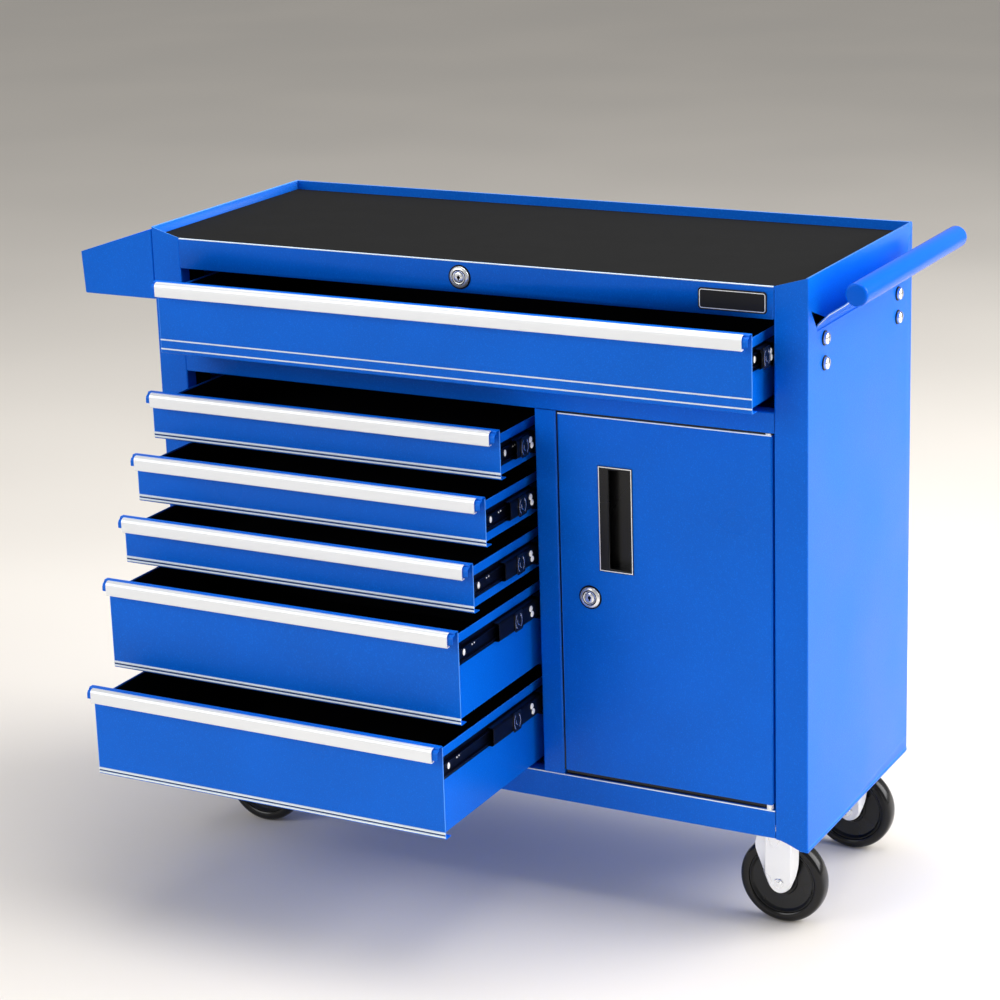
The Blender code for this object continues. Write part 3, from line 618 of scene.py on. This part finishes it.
def add_name_plate():
    """A blank black plate with a thin bright border."""
    low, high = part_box("name_plate")

    def outline(inset, radius):
        points = []
        for turn, (sx, sz) in enumerate(((1, 1), (-1, 1), (-1, -1), (1, -1))):
            x = (high.x if sx > 0 else low.x) - sx * (radius + inset)
            z = (high.z if sz > 0 else low.z) - sz * (radius + inset)
            points += circle((x, z), radius, 6, math.pi / 2 * turn, math.pi / 2)
        return points

    plate = prism(outline(0.0, PLATE_ROUND), "Y", low.y + 0.0003, high.y)
    piece("name_plate_blank", plate, PLATE_BLACK, "cabinet", ("name_plate",), bevel=0.0003)
    outer, inner = outline(*BORDER_OUTER), outline(*BORDER_INNER)
    face, foot = low.y, low.y + 0.0004
    border = ringed(
        [(x, y, z) for x, z in points]
        for points, y in ((outer, foot), (outer, face), (inner, face), (inner, foot))
    )
    piece("name_plate_border", border, ZINC, "cabinet")


BORE_RADIUS, STEM_RADIUS, BARREL_RADIUS = 0.0066, 0.0088, 0.0060
STEM_END, BARREL_END = 0.0185, 0.0208  # behind the cabinet's front
CAM_RADIUS, CAM_TIP = 0.007, 0.005
KEYHOLE = ((0.0010, -0.0036, 0.0026), (0.0021, -0.0014, 0.0014))  # half width, low, high


def keyhole(centre, depth, grown=0.0):
    """The two boxes that make a key's opening."""
    return [
        moved(
            box((-half - grown, half + grown), depth, (low - grown, high + grown)),
            Matrix.Translation(centre),
        )
        for half, low, high in KEYHOLE
    ]


def add_lock(prefix, body, cylinder):
    """A bright rosette with a dark washer that also stands in for its shadow, a dark ring of
    painted shade in its groove, and a plug with a keyhole, painted shade at its bottom, and a cam.
    """
    name = prefix + "_lock_housing"
    low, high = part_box(name)
    centre = Vector(((low.x + high.x) / 2, FRONT, (low.z + high.z) / 2))
    radius = (high.z - low.z) / 2 - 0.0002
    face = low.y - FRONT
    # A dark washer, which also stands in for the rosette's shadow
    washer = [
        (0.0110, -0.0001), (radius + 0.0016, -0.0001), (radius + 0.0013, -0.0010),
        (0.0110, -0.0010),
    ]
    piece(prefix + "_lock_washer_and_shadow", turned(washer, centre), DARK_METAL_AND_SHADE, body)
    rosette = [
        (BORE_RADIUS, STEM_END), (STEM_RADIUS, STEM_END), (STEM_RADIUS, -0.0003),
        (radius, -0.0003), (radius, -0.0008), (radius - 0.0006, face * 0.62),
        (radius - 0.0022, face * 0.93), (radius - 0.0034, face), (0.0092, face),
        (0.0088, face + 0.0007), (0.0082, face + 0.0007), (0.0078, face + 0.0001),
        (BORE_RADIUS, face + 0.0003),
    ]
    piece(prefix + "_lock_rosette", turned(rosette, centre), LOCK_METAL, body, (name,))
    # A dark ring in the groove: painted shade
    groove = [
        (0.0079, face + 0.0003), (0.0091, face + 0.0003), (0.0091, face + 0.0012),
        (0.0079, face + 0.0012),
    ]
    piece(prefix + "_lock_groove_shade", turned(groove, centre), DARK_METAL_AND_SHADE, body)

    name = prefix + "_lock_plug"
    plug_low, plug_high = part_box(name)
    front = plug_low.y - FRONT
    barrel = [
        (0.0, front + 0.0004), (0.0050, front + 0.0002), (BARREL_RADIUS, front + 0.0008),
        (BARREL_RADIUS, BARREL_END), (0.0, BARREL_END),
    ]
    shape = cut(turned(barrel, centre), *keyhole(centre, (front - 0.002, front + 0.006)))
    sideways = plug_high.x - plug_low.x > plug_high.z - plug_low.z
    reach = (centre.x - plug_low.x) if sideways else (plug_high.z - centre.z)
    outline = filleted(
        [
            (0.0, -CAM_RADIUS), (-CAM_RADIUS, -CAM_RADIUS), (-CAM_RADIUS, CAM_RADIUS),
            (0.004, CAM_RADIUS), (reach, CAM_TIP), (reach, -CAM_TIP), (0.004, -CAM_RADIUS),
            (0.0, -CAM_RADIUS),
        ],
        [0.004, 0.004, 0.002, 0.003, 0.003, 0.002],
    )[1:]
    spin = math.pi if sideways else math.pi / 2
    spun = [
        (
            centre.x + p[0] * math.cos(spin) - p[1] * math.sin(spin),
            centre.z + p[0] * math.sin(spin) + p[1] * math.cos(spin),
        )
        for p in outline
    ]
    back = plug_high.y
    cam = prism(spun, "Y", back - 0.002, back)
    nut = rod("Y", (centre.x, centre.z), 0.0042, back - 0.0008, back - 0.0001, 6)
    piece(prefix + "_lock_cylinder", joined(shape, cam, nut), LOCK_METAL, cylinder, (name,))
    # Dark boxes at the keyhole's bottom: painted shade in its depth
    bottom = keyhole(centre, (front + 0.0011, front + 0.0018), grown=0.0002)
    piece(prefix + "_lock_keyway_shade", joined(*bottom), DARK_METAL_AND_SHADE, cylinder)


def add_door_fittings():
    """The recessed pull with its bright lip and bezel line, and the hinge bushes."""
    low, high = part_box("door_pull")
    refined("door_pull", BLACK_PLASTIC_AND_SHADE, "door", fold=0.0009, narrow=0.003)
    x, y, end = low.x + 0.0098, low.y + 0.0050, 0.003
    lip = [((x, y, low.z + end), (x, y, high.z - end))]
    edge_lines("door_pull_lip", lip, CHROME, "door", 0.0004)

    outer, inner, foot, face = 0.0006, 0.0016, 0.0002, -0.0001
    loops = []
    for inset, y in ((outer, foot), (outer, face), (inner, face), (inner, foot)):
        x0, x1, z0, z1 = low.x + inset, high.x - inset, low.z + inset, high.z - inset
        corners = ((x0, z0), (x1, z0), (x1, z1), (x0, z1))
        loops.append([(x, low.y + y, z) for x, z in corners])
    piece("door_pull_bezel_line", ringed(loops), ZINC, "door")
    for name in ("door_hinge_lower", "door_hinge_upper"):
        refined(name, NYLON, fold=0.0006)


def drawer_sides(i):
    """The plane of a drawer's front, and the low and high corners of its tray."""
    low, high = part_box(f"drawer_{i}")
    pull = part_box(f"drawer_pull_{i}")[1]
    face = pull.y + PULL_BACK
    tray_low = Vector((low.x + SIDE_INSET, face, low.z))
    tray_high = Vector((high.x - SIDE_INSET, face + DRAWER_LENGTH, pull.z - SIDE_BELOW_TOP))
    return face, tray_low, tray_high


FRONT_SHEET = 0.001
FLANGE = 0.012  # the fold under a drawer's front
# Hems along a drawer's front, in the near-white paint of painted highlight: height over its lower
# edge, radius
WIDE_DRAWER_HEMS = ((0.0168, 0.0010), (0.0056, 0.0010))
DRAWER_HEMS = ((0.0073, 0.0015), (0.0029, 0.0013))
# A black strip between a drawer's hems is painted shade in their groove: its heights over the lower
# edge
GROOVE_SHADE_BAND = (0.0046, 0.0055)


def add_drawer(i):
    """A folded front, the tray behind it with a black lining of painted shade, and the front's hems
    in a near-white paint of painted highlight, with a black strip of painted shade between them.
    """
    body = f"drawer_body_{i}"
    low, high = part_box(f"drawer_{i}")
    face, tray_low, tray_high = drawer_sides(i)
    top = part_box(f"drawer_pull_{i}")[1].z
    crest, ledge, lip_end = top - 0.0013, top - 0.0040, top - 0.0130
    ridge, lip = face - 0.0072, low.y + 0.001
    path = filleted(
        [
            (face + FLANGE, low.z), (face, low.z), (face, crest), (ridge, crest),
            (ridge, ledge), (lip, ledge), (lip, lip_end),
        ],
        [FOLD, 0.0016, 0.0008, 0.0004, 0.0040],
        6,
    )
    front = prism(folded(path[::-1], FRONT_SHEET), "X", low.x, high.x)
    piece(f"drawer_{i}_front", front, PAINT, body, (f"drawer_{i}",), bevel=0.0004)

    floor = low.z + 0.0004

    def layer(front_gap, side_gap, floor_gap, height):
        """A box inside the tray's outline, with gaps to its front, its sides and its floor."""
        return box(
            (tray_low.x + side_gap, tray_high.x - side_gap),
            (face + front_gap, tray_high.y - side_gap),
            (floor + floor_gap, height),
        )

    tray = layer(0.0008, 0.0, 0.0, tray_high.z)
    hollow = layer(0.0011, SHEET, SHEET, tray_high.z + OVER)
    piece(f"drawer_{i}_tray", cut(tray, hollow), PAINT, body, bevel=0.0005)
    # A black lining over the tray's floor and walls: painted shade
    outside = SHEET + 0.0002
    shade_lining = layer(0.0014, outside, outside, tray_high.z - 0.0015)
    hollow = layer(0.0022, SHEET + 0.0010, SHEET + 0.0019, tray_high.z + OVER)
    piece(f"drawer_{i}_liner", cut(shade_lining, hollow), SHADE_LINING, body, bevel=0.0003)

    # The hems' beads take the near-white paint of painted highlight
    shapes = []
    for rise, radius in WIDE_DRAWER_HEMS if i == 1 else DRAWER_HEMS:
        outline = circle((face + 0.0002, low.z + rise), radius, 12)
        shapes.append(prism(outline, "X", low.x + 0.0002, high.x - 0.0002))
    piece(f"drawer_{i}_hem_beads", joined(*shapes), PALE_HIGHLIGHT_PAINT, body)
    ends = (low.x + 0.0003, high.x - 0.0003)
    # A black strip between the hems: painted shade in their groove
    if i > 1:
        band = [low.z + rise for rise in GROOVE_SHADE_BAND]
        groove = box(ends, (face - 0.0002, face + 0.0006), band)
        piece(f"drawer_{i}_hem_groove_shade", groove, BLACK_PLASTIC_AND_SHADE, body)
    # Beads in the lighter blue up the front's two ends: painted highlight
    edges = [
        ((x, face + 0.0003, low.z + 0.001), (x, face + 0.0003, top - 0.003)) for x in ends
    ]
    edge_lines(f"drawer_{i}_edge_beads", edges, EDGE_HIGHLIGHT_PAINT, body, 0.0005)
    add_pull(i, body)


def add_pull(i, body):
    """The aluminium strip that wraps the drawer front's top fold."""
    low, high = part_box(f"drawer_pull_{i}")
    top = high.z - 0.0004
    path = filleted(
        [(high.y, low.z + 0.0006), (low.y, low.z), (low.y, top), (high.y, top)],
        [0.0016, 0.0052],
        7,
    )
    shape = prism(folded(path[::-1]), "X", low.x, high.x)
    name = f"drawer_pull_{i}"
    piece(name + "_strip", shape, ALUMINIUM, body, (name,), bevel=0.0003)


MEMBER_DEPTH = 0.0086
RUNNER_DEPTH, RUNNER_HALF = 0.0042, 0.0078


def channel(web, edge, middle, half, radius, inward):
    """A sheet channel's closed outline in X and Z, its web at `web` and its lips at `edge`."""
    outline = filleted(
        [(edge, middle - half), (web, middle - half), (web, middle + half), (edge, middle + half)],
        [radius, radius],
    )
    return folded(outline[::-1] if inward else outline)


def add_slides(i):
    """The moving members, the runners on the drawer's sides, and their small fittings."""
    face, tray_low, tray_high = drawer_sides(i)
    for side in ("left", "right"):
        member = f"slide_member_{i}_{side}"
        low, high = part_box(member)
        inward = 1 if side == "left" else -1
        web = low.x if side == "left" else high.x
        wall = tray_low.x if side == "left" else tray_high.x
        middle = (low.z + high.z) / 2
        edge = web + inward * MEMBER_DEPTH
        outline = channel(web, edge, middle, (high.z - low.z) / 2, 0.0030, inward > 0)
        shape = prism(outline, "Y", low.y, high.y)
        piece(member + "_rolled", shape, BLACK_STEEL, f"slide_body_{i}", (member,), bevel=0.0003)

        back, edge = wall - inward * 0.0003, wall - inward * RUNNER_DEPTH
        outline = channel(back, edge, middle, RUNNER_HALF, 0.0018, inward < 0)
        shape = prism(outline, "Y", face + 0.003, face + DRAWER_LENGTH)
        piece(f"slide_runner_{i}_{side}", shape, SLIDE_NAVY, f"drawer_body_{i}", bevel=0.0003)
        add_slide_hardware(i, side, -inward, wall, web, middle, face)


# Along a slide and up from its middle; the drawer's from its front, the cage's from its centre
PLATE_HALF = 0.0135
CAGE_FOLLOWS, BUMPER_FOLLOWS = 0.25, 0.10  # parts of the drawer's way out
SCREW_OVAL = 0.68
SCREW_PLACES = (0.027, 0.225)
STOP_PLACES = ((0.010, 0.0035), (0.010, -0.0035), (0.046, 0.0030), (0.051, 0.0034))
CAGE_OUTLINE = (
    (0.004, -0.0120), (-0.010, -0.0120), (-0.0085, 0.0), (-0.010, 0.0120), (0.010, 0.0120),
    (0.010, -0.0120), (0.004, -0.0120),
)
CAGE_ARCS = (  # shift, radius, start and sweep in half turns
    (0.0025, 0.0112, 0.72, 0.56), (-0.0035, 0.0112, -0.26, 0.52), (0.0012, 0.0052, 0.85, 0.60),
)
ARC_WIDTH = 0.0010


def round_head(radius, height, spot, sides=20, steps=5):
    """A domed head that bulges along X, towards the left when `height` is negative."""
    points = [(0.0, 0.0)]
    for k in range(steps):
        a = math.pi / 2 * k / steps
        points.append((radius * math.cos(a), height * math.sin(a)))
    points.append((0.0, height))
    return turned(points, spot, "X", sides)


def add_slide_hardware(i, side, outward, wall, web, middle, face):
    """Screws and stops on the drawer's runner; the ball cage and bumper on the moving member."""
    drawer, moving = f"drawer_body_{i}", f"slide_body_{i}"
    skin = wall + outward * 0.0015
    start, front, back = face + 0.150, face + 0.0022, face + DRAWER_LENGTH - 0.002
    low, high = middle - PLATE_HALF, middle + PLATE_HALF
    plate = filleted(
        [(start, low), (front, low), (front, high), (back, high), (back, low), (start, low)],
        [0.0012, 0.0012, 0.0030, 0.0030],
    )[:-1]
    span = sorted((wall, wall + outward * 0.0003))
    piece(f"slide_plate_{i}_{side}", prism(plate, "X", *span), SLIDE_NAVY, drawer)

    screws = []
    for reach in SCREW_PLACES:
        spot = Vector((skin, face + reach, middle))
        squeeze, place = Matrix.Scale(SCREW_OVAL, 4, (0, 1, 0)), Matrix.Translation(spot)
        screw = round_head(0.0040, outward * 0.0010, spot)
        screws.append(moved(screw, place @ squeeze @ place.inverted()))
    piece(f"slide_screws_{i}_{side}", joined(*screws), NYLON, drawer)
    stops = [
        round_head(0.0011, outward * 0.0008, (skin, face + reach, middle + rise), 10)
        for reach, rise in STOP_PLACES
    ]
    piece(f"slide_stops_{i}_{side}", joined(*stops), ZINC, drawer)

    cage = FRONT - CAGE_FOLLOWS * (FRONT - face)
    outline = filleted(
        [(cage + shift, middle + rise) for shift, rise in CAGE_OUTLINE],
        [0.0030, 0.0080, 0.0030, 0.0030, 0.0030],
    )[:-1]
    span = sorted((web + outward * 0.0001, web + outward * 0.0010))
    shape = prism(outline, "X", *span)
    piece(f"slide_cage_{i}_{side}", shape, BLACK_PLASTIC_AND_SHADE, moving, bevel=0.0003)
    arcs = []
    span = sorted((web + outward * 0.0009, web + outward * 0.0013))
    for shift, radius, start, sweep in CAGE_ARCS:
        centre = (cage + shift, middle)
        outer = circle(centre, radius, 10, start * math.pi, sweep * math.pi)
        inner = circle(centre, radius - ARC_WIDTH, 10, start * math.pi, sweep * math.pi)
        arcs.append(prism(outer + inner[::-1], "X", *span))
    ball = (web, cage + 0.0050, middle + 0.0050)
    arcs.append(round_head(0.0012, outward * 0.0012, ball, 10))
    piece(f"slide_ball_arcs_{i}_{side}", joined(*arcs), CHROME, moving)

    bumper = FRONT + 0.003 - BUMPER_FOLLOWS * (FRONT - face)
    lobes = [
        round_head(0.0038, outward * 0.0014, (web, bumper + shift, middle + rise))
        for shift, rise in ((0.0, 0.0042), (0.0030, -0.0030))
    ]
    piece(f"slide_bumper_{i}_{side}", joined(*lobes), NYLON, moving)


# Rows of a fork's cheek: height over the axle, width towards -X and towards +X
CHEEK_SHAPE = (
    (0.0760, 0.0235, 0.0225),
    (0.0600, 0.0270, 0.0226),
    (0.0450, 0.0308, 0.0228),
    (0.0350, 0.0302, 0.0228),
    (0.0220, 0.0250, 0.0220),
    (0.0100, 0.0200, 0.0192),
    (0.0000, 0.0152, 0.0156),
    (-0.0052, 0.0126, 0.0132),
    (-0.0094, 0.0082, 0.0090),
    (-0.0114, 0.0040, 0.0046),
    (-0.0120, 0.0004, 0.0004),
)
CHEEK_SHEET = 0.0014
WIDE_FLAT, SLIM_FLAT = (0.0168, -1), (0.0140, 1)  # half width of the flat, its side
CREASE_WIDTH, FULL_WING = 0.0014, 0.0045
PIN_HEIGHT = 0.060  # above it the cheek stands straight under the swivel pin
SWIVEL_SHIFT = 0.008  # from the pin to the middle of a swivel fork's cheeks
CHEEK_OUT = 0.0068  # from the wheel's side to a cheek's face
CROWN_SHEET = 0.0026
PLATE_SHEET = 0.0025
AXLE_HEAD = (
    (0.0, 0.0), (0.0062, 0.0), (0.0062, 0.0009), (0.0056, 0.0016), (0.0040, 0.0013),
    (0.0036, 0.0021), (0.0020, 0.0027), (0.0, 0.0028),
)
RACE = (
    (0.012, -0.0095), (0.020, -0.0095), (0.025, -0.0070), (0.026, -0.0045), (0.026, -0.0020),
    (0.012, -0.0020),
)


def smooth_rows(rows, steps):
    """Rows of numbers joined by a Catmull-Rom curve, in `steps` steps from row to row."""
    out = []
    last = len(rows) - 1
    for k in range(last):
        p = [rows[max(k - 1, 0)], rows[k], rows[k + 1], rows[min(k + 2, last)]]
        for step in range(steps):
            t = step / steps
            row = []
            for a, b, c, d in zip(*p):
                curve = 2 * b + (c - a) * t + (2 * a - 5 * b + 4 * c - d) * t * t
                row.append(0.5 * (curve + (3 * b - a - 3 * c + d) * t ** 3))
            out.append(row)
    out.append(list(rows[-1]))
    return out


def fork_cheek(axle, top, pin_x, plane, sign, lean):
    """A pressed cheek: a raised flat between two creases, with a wing folded back each side."""
    x0, z0 = axle
    stretch = (top - z0) / CHEEK_SHAPE[0][0]
    skins = [[], []]
    shape = bmesh.new()
    for height, wide, slim in smooth_rows(CHEEK_SHAPE, 4):
        z = z0 + height * (stretch if height > 0 else 1.0)
        middle = x0 + (pin_x - x0) * min(1.0, max(0.0, height / PIN_HEIGHT))
        spots = []
        for reach, flat, way in ((wide, *WIDE_FLAT), (slim, *SLIM_FLAT)):
            crease = min(flat, reach * 0.86)
            outer = min(crease + CREASE_WIDTH, reach * 0.93)
            deep = min(1.0, max(0.0, (reach - crease) / FULL_WING))
            part = [(reach, 0.0046), ((reach + outer) / 2, 0.0036), (outer, 0.0022), (crease, 0.0)]
            spots.append([(way * u, -drop * deep) for u, drop in part])
        row = spots[0] + [(0.0, 0.0)] + spots[1][::-1]
        for skin, back in zip(skins, (0.0, CHEEK_SHEET)):
            places = [(middle + lean * u, plane + sign * (drop - back), z) for u, drop in row]
            skin.append([shape.verts.new(place) for place in places])
    for skin in skins:
        for a, b in zip(skin, skin[1:]):
            for i in range(len(a) - 1):
                shape.faces.new((a[i], a[i + 1], b[i + 1], b[i]))
    front, back = skins
    for i in (0, -1):
        for k in range(len(front) - 1):
            shape.faces.new((front[k][i], front[k + 1][i], back[k + 1][i], back[k][i]))
        for k in range(len(front[0]) - 1):
            shape.faces.new((front[i][k], front[i][k + 1], back[i][k + 1], back[i][k]))
    bmesh.ops.recalc_face_normals(shape, faces=shape.faces)
    return shape


def add_caster(end, side):
    """A fork with two cheeks, its axle and wheel, and the plate and race of a swivel caster."""
    fork = f"caster_fork_{end}_{side}"
    wheel = f"wheel_{end}_{side}"
    low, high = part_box(fork)
    wheel_low, wheel_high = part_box(wheel)
    axle = (wheel_low + wheel_high) / 2
    swivels = side == "left"
    plate = f"caster_plate_{end}"
    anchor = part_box(plate if swivels else fork)
    pin_x = (anchor[0].x + anchor[1].x) / 2
    body = f"swivel_{end}_left" if swivels else "cabinet"
    half = (wheel_high.y - wheel_low.y) / 2
    cheek = half + CHEEK_OUT
    parts = []
    for sign in (-1, 1):
        shift = SWIVEL_SHIFT if swivels else 0.0
        plane, lean = axle.y + sign * cheek, -1 if swivels else 1
        parts.append(
            fork_cheek((axle.x, axle.z), high.z - 0.0012, pin_x + shift, plane, sign, lean)
        )
    if swivels:
        crown = [
            (0.0, -CROWN_SHEET), (0.0262, -CROWN_SHEET), (0.0262, -0.0008), (0.0244, 0.0),
            (0.0, 0.0),
        ]
        parts.append(turned(crown, (pin_x, axle.y, high.z), "Z", 40))
        across, along = (pin_x - 0.015, pin_x + 0.028), (axle.y - cheek, axle.y + cheek)
        parts.append(box(across, along, (high.z - CROWN_SHEET, high.z - 0.0004)))
    else:
        parts.append(box((low.x, high.x), (low.y, high.y), (high.z - PLATE_SHEET, high.z)))
    piece(fork + "_pressed", joined(*parts), ZINC, body, (fork,), bevel=0.0004)

    heads = []
    reach = cheek + 0.0002
    for sign in (-1, 1):
        dome = [(r, sign * out) for r, out in AXLE_HEAD]
        heads.append(turned(dome, (axle.x, axle.y + sign * reach, axle.z), "Y", 28))
    heads.append(rod("Y", (axle.x, axle.z), 0.0038, axle.y - reach, axle.y + reach, 24))
    piece(f"caster_axle_{end}_{side}", joined(*heads), CHROME, body)
    add_wheel(wheel, axle, half)
    if swivels:
        low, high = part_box(plate)
        top = box((low.x, high.x), (low.y, high.y), (high.z - PLATE_SHEET, high.z))
        race = turned(RACE, (pin_x, axle.y, high.z), "Z", 40)
        piece(plate + "_pressed", joined(top, race), ZINC, "cabinet", (plate,), bevel=0.0005)


SEAT = 0.775  # the tyre's inner radius, as a part of its outer one


def add_wheel(name, axle, half):
    """A tyre and the core inside it, the same on both sides of the wheel's middle."""
    body = name.replace("wheel_", "wheel_body_")
    radius = axle.z
    seat = radius * SEAT
    flank = [  # radius, and the part of half the width
        (seat, 0.62), (seat, 0.80), (seat + 0.0004, 0.88), (seat + 0.0016, 0.94),
        (radius * 0.86, 1.0), (radius * 0.90, 0.985), (radius * 0.945, 0.90),
        (radius * 0.975, 0.76), (radius * 0.992, 0.52), (radius, 0.20),
    ]
    rim = seat - 0.0001
    core = [
        (0.0044, 0.92), (0.0098, 0.95), (0.0108, 0.92), (0.0116, 0.62), (0.0128, 0.56),
        (0.0140, 0.60), (0.0152, 0.74), (0.0172, 0.76), (0.0180, 0.70), (0.0190, 0.52),
        (rim * 0.80, 0.46), (rim * 0.90, 0.50), (rim * 0.945, 0.66), (rim * 0.965, 0.80),
        (rim * 0.99, 0.80), (rim, 0.70),
    ]
    for part, outline, material, taken in (
        ("_tyre", flank, TYRE, (name,)),
        ("_core", core, CORE, ()),
    ):
        one = [(r, half * share) for r, share in outline]
        other = [(r, -y) for r, y in one[::-1]]
        piece(name + part, turned(one + other, axle, "Y", 96), material, body, taken)


# ---------------------------------------------------------------- stage

CAMERA_PLACE = (1.4679, -2.6306, 1.3921)
CAMERA_AZIMUTH, CAMERA_ELEVATION, CAMERA_ROLL = 27.754, 15.561, -1.639
CAMERA_LENS = 95.6
CAMERA_SHIFT = (-0.03, -0.07)
FLOOR_REACH = 12.0
FLOOR_COLOR = (0.82, 0.775, 0.715)
WORLD_COLOR, WORLD_STRENGTH = (1.0, 0.99, 0.97, 1.0), 0.36
MIDDLE = (0.0, 0.0, 0.45)
LIGHTS = (  # name, place, target, size, power
    ("front_left", (-2.2, -3.6, 2.2), MIDDLE, (2.6, 2.2), 72),
    ("window_right", (3.0, 1.1, 1.9), (0.4, 0.0, 0.4), (3.4, 2.6), 168),
    ("overhead", (0.2, 0.4, 3.2), MIDDLE, (3.0, 2.0), 70),
)


def add_camera():
    data = bpy.data.cameras.new("camera")
    data.lens = CAMERA_LENS
    data.sensor_width = 36.0
    data.shift_x, data.shift_y = CAMERA_SHIFT
    data.clip_start, data.clip_end = 0.05, 100.0
    camera = bpy.data.objects.new("camera", data)
    turn = (
        Matrix.Rotation(math.radians(CAMERA_AZIMUTH), 4, "Z")
        @ Matrix.Rotation(math.radians(90 - CAMERA_ELEVATION), 4, "X")
        @ Matrix.Rotation(math.radians(CAMERA_ROLL), 4, "Z")
    )
    camera.matrix_world = Matrix.Translation(CAMERA_PLACE) @ turn
    bpy.context.scene.collection.objects.link(camera)
    bpy.context.scene.camera = camera


def add_light(name, place, target, size, power):
    data = bpy.data.lights.new(name, "AREA")
    data.shape = "RECTANGLE"
    data.size, data.size_y = size
    data.energy = power
    light = bpy.data.objects.new(name, data)
    direction = Vector(target) - Vector(place)
    light.rotation_euler = direction.to_track_quat("-Z", "Y").to_euler()
    light.location = place
    bpy.context.scene.collection.objects.link(light)


def add_stage():
    """A plain pale floor, an even grey world and three soft lights."""
    shape = bmesh.new()
    bmesh.ops.create_grid(shape, x_segments=1, y_segments=1, size=FLOOR_REACH)
    mesh = bpy.data.meshes.new("floor")
    shape.to_mesh(mesh)
    shape.free()
    floor = bpy.data.objects.new("floor", mesh)
    mesh.materials.append(
        surface("studio_floor", FLOOR_COLOR, 0.60, tint=0.03, patch=1.2, grain=60, bump=0.02)
    )
    bpy.context.scene.collection.objects.link(floor)

    world = bpy.data.worlds.new("studio")
    world.use_nodes = True
    background = world.node_tree.nodes["Background"]
    background.inputs["Color"].default_value = WORLD_COLOR
    background.inputs["Strength"].default_value = WORLD_STRENGTH
    bpy.context.scene.world = world
    bpy.context.scene.view_settings.view_transform = "Standard"
    for light in LIGHTS:
        add_light(*light)


def main():
    add_cabinet()
    add_rolled_edges()
    add_handle()
    add_bracket_bead()
    add_bolts()
    add_name_plate()
    add_lock("top", "cabinet", "top_lock_cylinder")
    add_lock("door", "door", "door_lock_cylinder")
    add_door_fittings()
    for i in DRAWERS:
        add_drawer(i)
        add_slides(i)
    for end, side in CASTERS:
        add_caster(end, side)
    add_camera()
    add_stage()


main()
